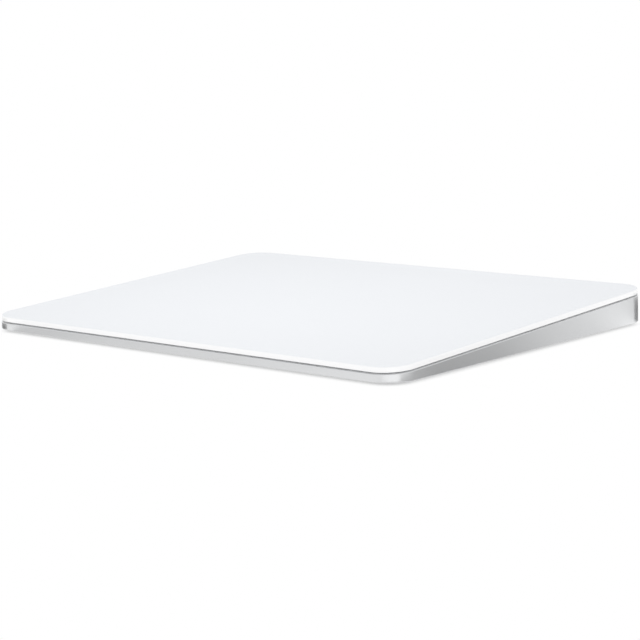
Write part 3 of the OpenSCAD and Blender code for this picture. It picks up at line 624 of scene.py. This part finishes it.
def ribbon_film(name, *lanes):
    """Amber polyimide over copper tracks, which run along X in lanes between two Ys and along Y elsewhere."""
    finish = Finish(name)
    from_side, from_front = finish.plan()
    in_lane = 0.0
    for low, high in lanes:
        in_lane = in_lane + finish.node("ShaderNodeMath", {"operation": "COMPARE"}, {
            0: from_front, 1: (low + high) / 2, 2: (high - low) / 2
        })
    offset = from_front * in_lane + from_side * (1 - in_lane)
    wave = finish.node("ShaderNodeMath", {"operation": "SINE"}, {0: offset * (2 * math.pi / track_pitch)})
    tracks = finish.ramp(wave * 0.5 + 0.5, (0.42, 0), (0.58, 1))
    mottle = finish.noise(1500)
    amber = finish.mix(mottle, shade(0.36, 0.15, 0.025), shade(0.46, 0.21, 0.04))
    return finish.surface({
        "Base Color": finish.mix(tracks, amber, shade(0.68, 0.38, 0.1)),
        "Roughness": 0.28 + mottle * 0.15,
        "Normal": finish.bump(tracks, strength=0.25, distance=0.02 * mm),
        "Coat Weight": 0.3,
    })


ribbon_along_x = ribbon_film("ribbon_along_x", (-body_depth, body_depth))
ribbon_along_y = ribbon_film("ribbon_along_y", (body_depth, 2 * body_depth))
ribbon_edge = 0.02 * mm
eased("battery_ribbon", "battery_cable", "base", ribbon_along_x, ribbon_edge)


# Main board. Glass fibre laminate under green solder mask, on four posts, with its chips, the radio's
# drawn shield can, rows of ceramic parts, nylon sockets and a folded antenna on a plastic block.
def solder_mask(name):
    """Green solder mask over copper: tracks show through as a lighter green, with small plated holes."""
    finish = Finish(name)
    place = finish.place()
    cells = finish.node("ShaderNodeTexVoronoi", {"distance": "CHEBYCHEV"}, {
        "Vector": place, "Scale": 420.0, "Randomness": 0.8
    })
    tracks = finish.ramp(cells, (0.3, 0), (0.34, 1), (0.42, 1), (0.46, 0))
    dots = finish.node("ShaderNodeTexVoronoi", {}, {"Vector": place, "Scale": 260.0, "Randomness": 1.0})
    holes = finish.ramp(dots, (0.1, 1), (0.14, 0))
    grain = finish.noise(3500)
    mask = finish.mix(tracks, shade(0.012, 0.07, 0.035), shade(0.03, 0.15, 0.075))
    return finish.surface({
        "Base Color": finish.mix(holes, mask, shade(0.75, 0.55, 0.24)),
        "Metallic": holes,
        "Roughness": 0.32 + grain * 0.12,
        "Normal": finish.bump(tracks + holes, strength=0.3, distance=0.03 * mm),
    })


def moulded(name, light, dark, roughness, grain_scale, grain_depth):
    """A moulded plastic or resin with a fine spark-eroded grain."""
    finish = Finish(name)
    grain = finish.noise(grain_scale, detail=3, rough=0.6)
    drift = finish.noise(90)
    return finish.surface({
        "Base Color": finish.mix(grain * 0.6 + drift * 0.4, dark, light),
        "Roughness": roughness - 0.06 + grain * 0.12,
        "Normal": finish.bump(grain, strength=grain_depth, distance=0.02 * mm),
    })


def rolled_metal(name, light, dark, roughness, stretch, scale=900):
    """Sheet metal with rolling marks along one direction."""
    finish = Finish(name)
    marks = finish.noise(scale, detail=4, rough=0.6, stretch=stretch)
    drift = finish.noise(70)
    return finish.surface({
        "Base Color": finish.mix(marks * 0.6 + drift * 0.4, dark, light),
        "Metallic": 1.0,
        "Roughness": roughness - 0.06 + marks * 0.12,
        "Normal": finish.bump(marks, strength=0.08, distance=0.02 * mm),
    })


board_mask = solder_mask("green_mask")
chip_resin = moulded(
    "chip_resin", shade(0.04, 0.04, 0.045), shade(0.024, 0.024, 0.028),
    roughness=0.55, grain_scale=4200, grain_depth=0.35
)
dark_plastic = moulded(
    "dark_plastic", shade(0.05, 0.05, 0.055), shade(0.03, 0.03, 0.034),
    roughness=0.5, grain_scale=3600, grain_depth=0.3
)
socket_nylon = moulded(
    "socket_nylon", shade(0.8, 0.77, 0.69), shade(0.72, 0.69, 0.6),
    roughness=0.45, grain_scale=3000, grain_depth=0.15
)
shield_steel = rolled_metal(
    "tinned_shield", shade(0.7, 0.7, 0.71), shade(0.6, 0.6, 0.61), roughness=0.34, stretch=(1, 7, 1)
)
screw_steel = rolled_metal(
    "dark_screw_steel", shade(0.3, 0.3, 0.31), shade(0.2, 0.2, 0.21),
    roughness=0.36, stretch=(1, 1, 1), scale=2600
)
contact_gold = rolled_metal(
    "contact_gold", shade(0.88, 0.66, 0.28), shade(0.78, 0.55, 0.2),
    roughness=0.24, stretch=(1, 5, 1), scale=1500
)
board_edge = 0.05 * mm
chip_edge = 0.08 * mm
can_edge = 0.15 * mm
carrier_edge = 0.2 * mm
eased("main_board", "main_circuit_board", "base", board_mask, board_edge)
for node in ("processor_chip", "charging_chip", "haptic_chip"):
    eased(node, node + "_package", "base", chip_resin, chip_edge)
eased("radio_shield", "radio_shield_can", "base", shield_steel, can_edge)
eased("board_sockets", "board_socket_set", "base", socket_nylon, chip_edge)
eased("board_screws", "board_screw_set", "base", screw_steel, chip_edge)
eased("antenna_carrier", "antenna_block", "base", dark_plastic, carrier_edge)
dress(contact_gold, "antenna_foil")

# Each ceramic part has a tinned cap at both ends.
ceramic_edge = 0.04 * mm
cap_turn = 0.6
passives = eased("board_passives", "ceramic_parts", "base", moulded(
    "passive_ceramic", shade(0.5, 0.37, 0.25), shade(0.4, 0.29, 0.19),
    roughness=0.5, grain_scale=3000, grain_depth=0.1
), ceramic_edge)
passives.data.materials.append(shield_steel)
for face in passives.data.polygons:
    if abs(face.normal.x) > cap_turn:
        face.material_index = 1

# The battery's protection board has the same mask.
dress(board_mask, "battery_guard_board")


# Charging port. A drawn stainless shell with a black moulded tongue that carries two rows of gold
# contacts, held on its own board by a steel strap, two screws and a flat cable.
port_wall = 0.3 * mm
shell_lip = 0.1 * mm
lip_angle = math.radians(57)
tongue_edge = 0.12 * mm
contact_edge = 0.015 * mm
strap_edge = 0.06 * mm
port_cable_width = 2.5 * mm
shell_size = shell_high - shell_low
shell = slot_block("port_sleeve", (0, rear_middle), shell_size.x, shell_size.z, shell_low.y, shell_high.y)
pick(shell, "faces", lambda face: abs(face.normal.y) > parallel)
bpy.ops.mesh.inset(thickness=port_wall)
bpy.ops.mesh.bridge_edge_loops()
bpy.ops.object.mode_set(mode="OBJECT")
in_mouth = in_plane(shell_high, (0, 1, 0))
round_edges(shell, lambda edge: in_mouth(edge) and edge.calc_face_angle() > lip_angle, shell_lip, segments=3)
smooth(shell)
shell.data.materials.append(rolled_metal(
    "port_steel", shade(0.68, 0.68, 0.69), shade(0.58, 0.58, 0.59), roughness=0.28, stretch=(6, 1, 6)
))
fit(shell, "base", "port_steel", "port_shell")
eased("port_tongue", "port_tongue_moulding", "base", dark_plastic, tongue_edge)
eased("port_contacts", "port_contact_rows", "base", contact_gold, contact_edge)
eased("port_board", "port_circuit_board", "base", board_mask, board_edge)
eased("port_bracket", "port_strap", "base", shield_steel, strap_edge)
eased("port_screws", "port_screw_set", "base", screw_steel, chip_edge)
port_cable_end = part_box("port_ribbon")[1].y
port_film = ribbon_film("port_film", (port_cable_end - port_cable_width, port_cable_end))
eased("port_ribbon", "port_cable", "base", port_film, ribbon_edge)


# Power switch. A satin knob in its slot on a flange, with a green strip that shows when it is on and a
# fork that drives the switch's contact slide. The switch sits on a small board with its own cable.
knob_low, knob_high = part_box("power_knob")
knob_length = 6.4 * mm
knob_height = 2.2 * mm
knob_edge = 0.25 * mm
flange_thickness = 0.6 * mm
prong_length = 1.0 * mm
prong_width = 0.8 * mm
prong_slip = 0.02 * mm
flag_edge = 0.02 * mm
nib_low, nib_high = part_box("switch_nib")
knob_middle = (knob_low.x + knob_high.x) / 2
flange_back = knob_low.y + prong_length
prong_inner = (nib_high.x - nib_low.x) / 2 + prong_slip
knob = slot_block(
    "power_knob_moulding", (knob_middle, rear_middle), knob_length, knob_height,
    flange_back + embed, knob_high.y
)
round_edges(knob, in_plane(knob_high, (0, 1, 0)), knob_edge, segments=5)
combine(knob, "UNION", fresh_block(
    "flange", (knob_low.x, flange_back, knob_low.z),
    (knob_high.x, flange_back + flange_thickness, knob_high.z)
))
for side in (-1, 1):
    ends = sorted((knob_middle + side * prong_inner, knob_middle + side * (prong_inner + prong_width)))
    combine(knob, "UNION", fresh_block(
        "prong", (ends[0], knob_low.y, nib_low.z), (ends[1], flange_back + embed, nib_high.z)
    ))
smooth(knob)
knob.data.materials.append(moulded(
    "satin_knob", shade(0.78, 0.785, 0.79), shade(0.72, 0.725, 0.73),
    roughness=0.4, grain_scale=5200, grain_depth=0.12
))
fit(knob, "power_slider", "knob_plastic", "power_knob")
eased("power_flag", "power_strip", "power_slider", moulded(
    "green_strip", shade(0.1, 0.6, 0.13), shade(0.07, 0.5, 0.1),
    roughness=0.45, grain_scale=2600, grain_depth=0.1
), flag_edge)
eased("switch_nib", "contact_slide", "power_slider", socket_nylon, chip_edge)
eased("switch_body", "switch_case", "base", dark_plastic, chip_edge)
eased("switch_board", "switch_circuit_board", "base", board_mask, board_edge)
eased("switch_screws", "switch_screw_set", "base", screw_steel, chip_edge)
eased("switch_ribbon", "switch_cable", "base", ribbon_along_y, ribbon_edge)


# Haptic actuator. Two flat coils of enamelled copper on a plated base plate, under four nickel-plated
# magnets on a yoke, which pull the touch stack from side to side.
plated_steel = rolled_metal(
    "zinc_plate", shade(0.6, 0.61, 0.62), shade(0.5, 0.51, 0.52), roughness=0.38, stretch=(9, 1, 1)
)
magnet_nickel = rolled_metal(
    "nickel_plate", shade(0.72, 0.71, 0.69), shade(0.64, 0.63, 0.61),
    roughness=0.22, stretch=(1, 1, 1), scale=1200
)
coil_edge = 0.12 * mm
magnet_edge = 0.1 * mm
coil_offset = 12.5 * mm
eye_x = 4.0 * mm
eye_y = 2.0 * mm
turn_pitch = 0.25 * mm
winding = Finish("enamelled_copper")
coil_x, coil_y = winding.plan()
from_eye = winding.node("ShaderNodeCombineXYZ", sockets={
    0: winding.past(abs(abs(coil_x) - coil_offset), eye_x), 1: winding.past(abs(coil_y), eye_y)
})
eye_distance = winding.node("ShaderNodeVectorMath", {"operation": "LENGTH"}, {0: from_eye}, out="Value")
# The copper is painted bright along each wire and dark in the groove between one turn and the next: painted
# shade between the wires.
turns_and_groove_shade = winding.node(
    "ShaderNodeMath", {"operation": "SINE"}, {0: eye_distance * (2 * math.pi / turn_pitch)}
) * 0.5 + 0.5
coil_copper = winding.surface({
    "Base Color": winding.mix(turns_and_groove_shade, shade(0.3, 0.1, 0.035), shade(0.66, 0.32, 0.16)),
    "Metallic": 1.0,
    "Roughness": 0.42 - turns_and_groove_shade * 0.14,
    "Normal": winding.bump(turns_and_groove_shade, strength=0.6, distance=0.06 * mm),
})
eased("actuator_base", "coil_base_plate", "base", plated_steel, board_edge)
eased("actuator_coils", "flat_coils", "base", coil_copper, coil_edge)
eased("actuator_screws", "coil_screw_set", "base", screw_steel, chip_edge)
eased("coil_ribbon", "coil_cable", "base", ribbon_along_x, ribbon_edge)
eased("magnet_yoke", "magnet_back_plate", "touch_plate", plated_steel, board_edge)
eased("haptic_magnets", "magnet_set", "touch_plate", magnet_nickel, magnet_edge)


# Force beams. Four stamped spring steel beams, screwed down at their roots and free at their tips. Foil
# gauges under their necks feel them bend, and a flat cable on the floor joins the gauges.
spring_steel = rolled_metal(
    "spring_steel", shade(0.62, 0.63, 0.65), shade(0.52, 0.53, 0.55), roughness=0.3, stretch=(1, 9, 1)
)
beam_edge = 0.05 * mm
beam_neck = 7 * mm
neck_cuts = 8
lane_width = 3 * mm
front_tail = 8.5 * mm
gauge_cable_low, gauge_cable_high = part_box("gauge_ribbon")
front_lane = gauge_cable_low.y + front_tail
rear_lane = gauge_cable_high.y - lane_width
for node in beam_names:
    beam_low, beam_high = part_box(node)
    side = 1 if beam_low.x > 0 else -1
    root_end = max(abs(beam_low.x), abs(beam_high.x)) - beam_root
    bends = [
        ((side * (root_end - beam_neck * step / neck_cuts), 0, 0), (1, 0, 0)) for step in range(neck_cuts + 1)
    ]
    beam = eased(
        node, node.replace("_beam", "_spring"), None, spring_steel, beam_edge, bends
    )
    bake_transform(beam)
foil = Finish("gauge_foil")
grid = foil.node(
    "ShaderNodeTexWave", {"wave_type": "BANDS", "bands_direction": "Y"},
    {"Vector": foil.place(), "Scale": 700.0, "Distortion": 0.0}
)
grid_lines = foil.ramp(grid, (0.45, 0), (0.55, 1))
dress(foil.surface({
    "Base Color": foil.mix(grid_lines, shade(0.62, 0.3, 0.06), shade(0.72, 0.6, 0.42)),
    "Roughness": 0.36 + grid_lines * 0.1,
    "Normal": foil.bump(grid_lines, strength=0.2, distance=0.01 * mm),
}), "strain_gauges")
eased("beam_screws", "beam_screw_set", "base", screw_steel, chip_edge)
gauge_film = ribbon_film(
    "gauge_film", (front_lane, front_lane + lane_width), (rear_lane, rear_lane + lane_width)
)
eased("gauge_ribbon", "gauge_cable", "base", gauge_film, ribbon_edge)


# Gel pads. Four discs of clear silicone gel between the beams' tips and the stiffener. They carry the
# touch stack and let it shift sideways.
pad_radius = 3.5 * mm
pad_sides = 64
pad_inset = 4.5 * mm
pad_under = 3.12 * mm
pad_top = 2.72 * mm
pad_edge = 0.12 * mm
gel = Finish("clear_gel")
gel_cloud = gel.noise(700, detail=3)
gel_finish = gel.surface({
    "Base Color": gel.mix(gel_cloud, shade(0.55, 0.64, 0.67), shade(0.66, 0.74, 0.76)),
    "Roughness": 0.16 + gel_cloud * 0.1,
    "Transmission Weight": 0.5,
    "IOR": 1.41,
})


def lay_on_slope(piece):
    """Turns a piece that was made flat, with the touch face at z = 0, into its place on the slope."""
    choose(piece)
    piece.rotation_euler.x = slope
    piece.location = touch_middle
    bpy.ops.object.transform_apply(location=True, rotation=True, scale=True)


pads = []
for node in beam_names:
    beam_low, beam_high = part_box(node)
    tip_x = beam_low.x + pad_inset if beam_low.x > 0 else beam_high.x - pad_inset
    pad_y = ((beam_low.y + beam_high.y) / 2 - pad_under * math.sin(slope)) / math.cos(slope)
    pad = fresh_disc("gel_pad", (tip_x, pad_y), pad_radius, -pad_under, -pad_top, pad_sides)
    round_edges(pad, in_plane((0, 0, -pad_top), (0, 0, 1)), pad_edge, segments=3)
    round_edges(pad, in_plane((0, 0, -pad_under), (0, 0, 1)), pad_edge, segments=3)
    lay_on_slope(pad)
    pads.append(pad)
bpy.ops.object.select_all(action="DESELECT")
for pad in pads:
    pad.select_set(True)
bpy.context.view_layer.objects.active = pads[0]
bpy.ops.object.join()
gel_set = pads[0]
gel_set.name = "gel_discs"
smooth(gel_set)
gel_set.data.materials.append(gel_finish)
fit(gel_set, "gel_layer", "gel_silicone", "gel_pads")


# Touch stack. The sensor board is bonded under the glass, with its controller chip and socket, and a
# plated stiffener plate. A looped cable joins it to the main board and bends as the stack sinks.
eased("stiffener_plate", "stiffener_sheet", "touch_plate", plated_steel, board_edge)
eased("sensor_board", "touch_sensor_board", "touch_plate", board_mask, board_edge)
eased("touch_chip", "touch_chip_package", "touch_plate", chip_resin, chip_edge)
eased("sensor_socket", "sensor_socket_moulding", "touch_plate", socket_nylon, chip_edge)
dress(adhesive, "glass_bond")
loop_cuts = 10
loop_hold = 3 * mm
loop_end = board_low.y
loop_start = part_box("sensor_ribbon")[0].y + loop_hold
loop = eased("sensor_ribbon", "sensor_cable", None, ribbon_along_y, ribbon_edge, [
    ((0, loop_start + (loop_end - loop_start) * step / loop_cuts, 0), (0, 1, 0))
    for step in range(loop_cuts + 1)
])
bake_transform(loop)


# Dust seal. A grey foam ring stuck along the top of the housing's rim, a hair in from its sides. It keeps dust
# out of the gap that lets the glass sink; its light grey is painted light, which lifts the shade in that gap.
seal_edge = 0.1 * mm
seal_setback = 0.4 * mm
seal_thickness = 0.1 * mm
slope_depth = body_depth / math.cos(slope)


def slab_on_slope(name, inset, low, high, corner_steps):
    """A flat slab with round corners, an inset in from the housing's sides, with the touch face at z = 0."""
    half = Vector((body_width / 2 - inset, slope_depth / 2 - inset, 0))
    slab = fresh_block(name, -half + Vector((0, 0, low)), half + Vector((0, 0, high)))
    round_edges(slab, along((0, 0, 1)), corner_radius - inset, segments=corner_steps)
    return slab


seal = slab_on_slope(
    "dust_seal", seal_setback, -glass_thickness - rim_gap, -glass_thickness - rim_gap + seal_thickness, 24
)
pick(seal, "faces", lambda face: abs(face.normal.z) > parallel)
bpy.ops.mesh.inset(thickness=wall - seal_edge - seal_setback)
bpy.ops.mesh.bridge_edge_loops()
bpy.ops.object.mode_set(mode="OBJECT")
lay_on_slope(seal)
smooth(seal)
# The foam's light grey is painted light: it lifts the shade in the narrow gap under the glass.
foam = Finish("grey_foam")
cells = foam.noise(4200, detail=3, rough=0.7)
seal.data.materials.append(foam.surface({
    "Base Color": foam.mix(cells, shade(0.66, 0.66, 0.665), shade(0.76, 0.76, 0.765)),
    "Roughness": 0.9,
    "Normal": foam.bump(cells, strength=0.5, distance=0.05 * mm),
}))
fit(seal, "base", "seal_foam", "rim_seal")


# Touch glass. A sheet of glass with white ink on its back, an etched satin face and a polished round
# edge. It is bonded to the touch stack and stands a hair in from the housing's sides.
glass_setback = 0.1 * mm
glass_edge = 0.5 * mm
back_edge = 0.3 * mm
glass = slab_on_slope("glass_face", glass_setback, -glass_thickness, 0, 32)
round_edges(glass, in_plane((0, 0, 0), (0, 0, 1)), glass_edge, segments=8)
round_edges(glass, in_plane((0, 0, -glass_thickness), (0, 0, 1)), back_edge, segments=5)
glaze = Finish("white_glass")
frost = glaze.noise(7000)
haze = glaze.noise(22)

# The satin changes to polish as the edge curves away from the face, and its colour changes to a brighter white
# there: a painted highlight along the rounded edge.
surface_normal = glaze.node("ShaderNodeTexCoord", out="Normal")
upward = glaze.node("ShaderNodeVectorMath", {"operation": "DOT_PRODUCT"}, {
    0: surface_normal, 1: touch_normal
}, out="Value")
polish_and_painted_highlight = glaze.node("ShaderNodeMapRange", {"interpolation_type": "SMOOTHSTEP"}, {
    "Value": abs(upward), "From Min": 1.0, "From Max": 0.25, "To Min": 0.0, "To Max": 1.0
})
satin_face = glaze.mix(haze, shade(0.808, 0.826, 0.854), shade(0.82, 0.838, 0.866))
glass.data.materials.append(glaze.surface({
    "Base Color": glaze.mix(polish_and_painted_highlight, satin_face, shade(0.99, 0.992, 0.995)),
    "Roughness": 0.42 + frost * 0.12 - polish_and_painted_highlight * 0.3,
    "Normal": glaze.bump(frost, strength=0.04, distance=0.01 * mm),
    "Coat Weight": polish_and_painted_highlight * 0.25,
    "IOR": 1.5,
}))
lay_on_slope(glass)
smooth(glass)
fit(glass, "touch_plate", "white_glass", "touch_glass")


# Stage. A white floor that keeps a tight contact shadow, in a bright white room under a wide soft box, with
# graded cards on the floor that only reflections see.
floor_size = 8
veil_near = 0.4
veil_inset = 3.0 * mm
veil_reach = 4.7 * mm
room_share = 0.97
bpy.ops.object.select_all(action="DESELECT")
bpy.ops.mesh.primitive_plane_add(size=floor_size)
floor = name_piece("floor")
paper = Finish("white_paper")
paper.surface({"Base Color": shade(0.98, 0.98, 0.98), "Roughness": 0.9, "Specular IOR Level": 0.0})


def seen_rays(nodes):
    """One for rays that show the background: those of the camera, of gloss and of see-through pieces."""
    rays = nodes.tree.nodes.new("ShaderNodeLightPath")
    camera_ray, glossy_ray, clear_ray = (
        Wire(nodes, rays.outputs["Is " + kind + " Ray"]) for kind in ("Camera", "Glossy", "Transmission")
    )
    return camera_ray + glossy_ray + clear_ray


# The glow of the floor fades in from under the rim outwards, round the corners too, and leaves the shadow.
floor_x, floor_y = paper.plan()
past_x = paper.past(abs(floor_x), body_width / 2 - corner_radius)
past_y = paper.past(abs(floor_y), body_depth / 2 - corner_radius)
outward = paper.node("ShaderNodeMath", {"operation": "SQRT"}, {0: past_x * past_x + past_y * past_y})
veil_start = corner_radius - veil_inset
veil = paper.node("ShaderNodeMapRange", {"interpolation_type": "SMOOTHSTEP"}, {
    "Value": outward, "From Min": veil_start, "From Max": veil_start + veil_reach,
    "To Min": veil_near, "To Max": 1.0
})
glow = paper.node("ShaderNodeEmission", sockets={"Color": shade(1, 1, 1), "Strength": 1.0})
shown = paper.node("ShaderNodeMixShader", sockets={
    0: seen_rays(paper) * veil, 1: Wire(paper, paper.shader.outputs[0]), 2: glow
})
paper.tree.links.new(shown.socket, paper.tree.nodes["Material Output"].inputs["Surface"])
floor.data.materials.append(paper.material)

# The room is white where it is seen, and lights the trackpad a little less than that.
world = bpy.data.worlds.new("bright_room")
bpy.context.scene.world = world
world.use_nodes = True
room = Nodes(world.node_tree)
room.fill(world.node_tree.nodes["Background"], {
    "Color": shade(1, 1, 1), "Strength": seen_rays(room) * (1 - room_share) + room_share
})


def softbox(name, place, width, depth, power):
    """An oblong lamp that looks at the trackpad."""
    lamp = bpy.data.lights.new(name, "AREA")
    lamp.shape = "RECTANGLE"
    lamp.size = width
    lamp.size_y = depth
    lamp.energy = power
    holder = bpy.data.objects.new(name, lamp)
    bpy.context.scene.collection.objects.link(holder)
    holder.location = place
    holder.rotation_euler = (-Vector(place)).to_track_quat("-Z", "Y").to_euler()
    holder.visible_camera = False


def floor_card(name, height, corners, grade_way, grades):
    """A card on the floor that shows in reflections only, with its tone graded along a direction. Its height,
    its corners and the places of its grades are in millimetres."""
    bpy.ops.object.select_all(action="DESELECT")
    bpy.ops.mesh.primitive_plane_add(size=1)
    card = name_piece(name)
    for vertex, corner in zip(card.data.vertices, corners):
        vertex.co = (corner[0] * mm, corner[1] * mm, height * mm)
    paint = Finish(name)
    along_way = paint.node(
        "ShaderNodeVectorMath", {"operation": "DOT_PRODUCT"}, {0: paint.place(), 1: grade_way}, out="Value"
    )
    first = grades[0][0]
    reach = grades[-1][0] - first
    way = (along_way - first * mm) / (reach * mm)
    card.data.materials.append(paint.surface({
        "Base Color": shade(0, 0, 0), "Roughness": 1.0, "Specular IOR Level": 0.0,
        "Emission Color": paint.ramp(way, *(((place - first) / reach, tone) for place, tone in grades)),
        "Emission Strength": 1.0,
    }))
    card.visible_camera = False
    card.visible_diffuse = False
    card.visible_shadow = False


softbox("top_box", place=(0, -26 * mm, 118 * mm), width=160 * mm, depth=60 * mm, power=0.021)

# The front, corner and right cards give the walls their tones. The rear cards and the left card make the
# dark band at each end, and the glint card the bright patch beside the left one. The right wall mirrors its
# card along lines of one slope, so that each grade shows at one place of the wall.
to_right = (1, 0, 0)
to_rear = (0, 1, 0)
mirror_slope = 1.087
along_right_wall = (-mirror_slope, 1, 0)
floor_card(
    "front_card", height=0.3, corners=((-170, -160), (70, -160), (-70, -57.6), (74, -57.6)),
    grade_way=to_right, grades=((-120, 0.62), (-65, 0.755), (-30, 0.892), (22, 0.938), (60, 1.03))
)
floor_card(
    "corner_card", height=0.4, corners=((75.9, -58.8), (80.7, -86.1), (81.6, -54.3), (107.8, -61.3)),
    grade_way=to_right, grades=((76, 1.12), (82, 1.28))
)
floor_card(
    "right_card", height=0.3, corners=((80.1, -66), (260, -120), (80.1, 160), (260, 160)),
    grade_way=along_right_wall, grades=(
        (-162, 1.05), (-144, 0.6), (-127, 0.44), (-112, 0.48), (-101, 0.53),
        (-74, 0.81), (-54, 0.93), (-44, 1.1), (-39, 1.22), (-27, 1.25)
    )
)
floor_card(
    "near_rear_card", height=0.35, corners=((44, 57.8), (83.1, 55.9), (36, 75), (95, 75)),
    grade_way=to_right, grades=((36, 1.0), (60, 0.4), (72, 0.29), (95, 0.29))
)
floor_card(
    "far_rear_card", height=0.35, corners=((30, 75), (95, 75), (30, 90), (117, 112)),
    grade_way=to_right, grades=((30, 1.0), (46, 0.3), (60, 0.14), (117, 0.14))
)
floor_card(
    "left_card", height=0.3, corners=((-92.8, -70.6), (-75.3, -59.2), (-98, -51), (-78.3, -56)),
    grade_way=to_rear, grades=((-70, 0.2), (-55, 0.2), (-51, 0.5))
)
floor_card(
    "glint_card", height=0.35, corners=((-96, -74), (-87, -79), (-75.1, -59.3), (-72.6, -59.4)),
    grade_way=to_right, grades=((-96, 1.3), (-72, 1.3))
)


# Camera. It stands where the photograph was taken from, before the front right corner and a little above
# the touch face. Its angles, distance and lens were solved from the edges of the glass and the housing.
view_azimuth = math.radians(42.644)
view_elevation = math.radians(9.399)
view_roll = math.radians(-1.881)
view_distance = 576.13 * mm
focal_pixels = 1940.5
image_pixels = 640
aim_right = 2.035 * mm
aim_up = -3.011 * mm
aim_height = 5 * mm
back = Vector((
    math.sin(view_azimuth) * math.cos(view_elevation),
    -math.cos(view_azimuth) * math.cos(view_elevation),
    math.sin(view_elevation),
))
right = Vector((math.cos(view_azimuth), math.sin(view_azimuth), 0))
up = back.cross(right)
aim = Vector((0, 0, aim_height)) + right * aim_right + up * aim_up
rolled_right = right * math.cos(view_roll) + up * math.sin(view_roll)
rolled_up = up * math.cos(view_roll) - right * math.sin(view_roll)
lens = bpy.data.cameras.new("camera")
lens.sensor_width = 36
lens.lens = focal_pixels * lens.sensor_width / image_pixels
lens.clip_start = 0.01
camera = bpy.data.objects.new("camera", lens)
bpy.context.scene.collection.objects.link(camera)
camera.location = aim + back * view_distance
camera.rotation_euler = Matrix((rolled_right, rolled_up, back)).transposed().to_euler()
bpy.context.scene.camera = camera
bpy.context.scene.view_settings.view_transform = "Standard"
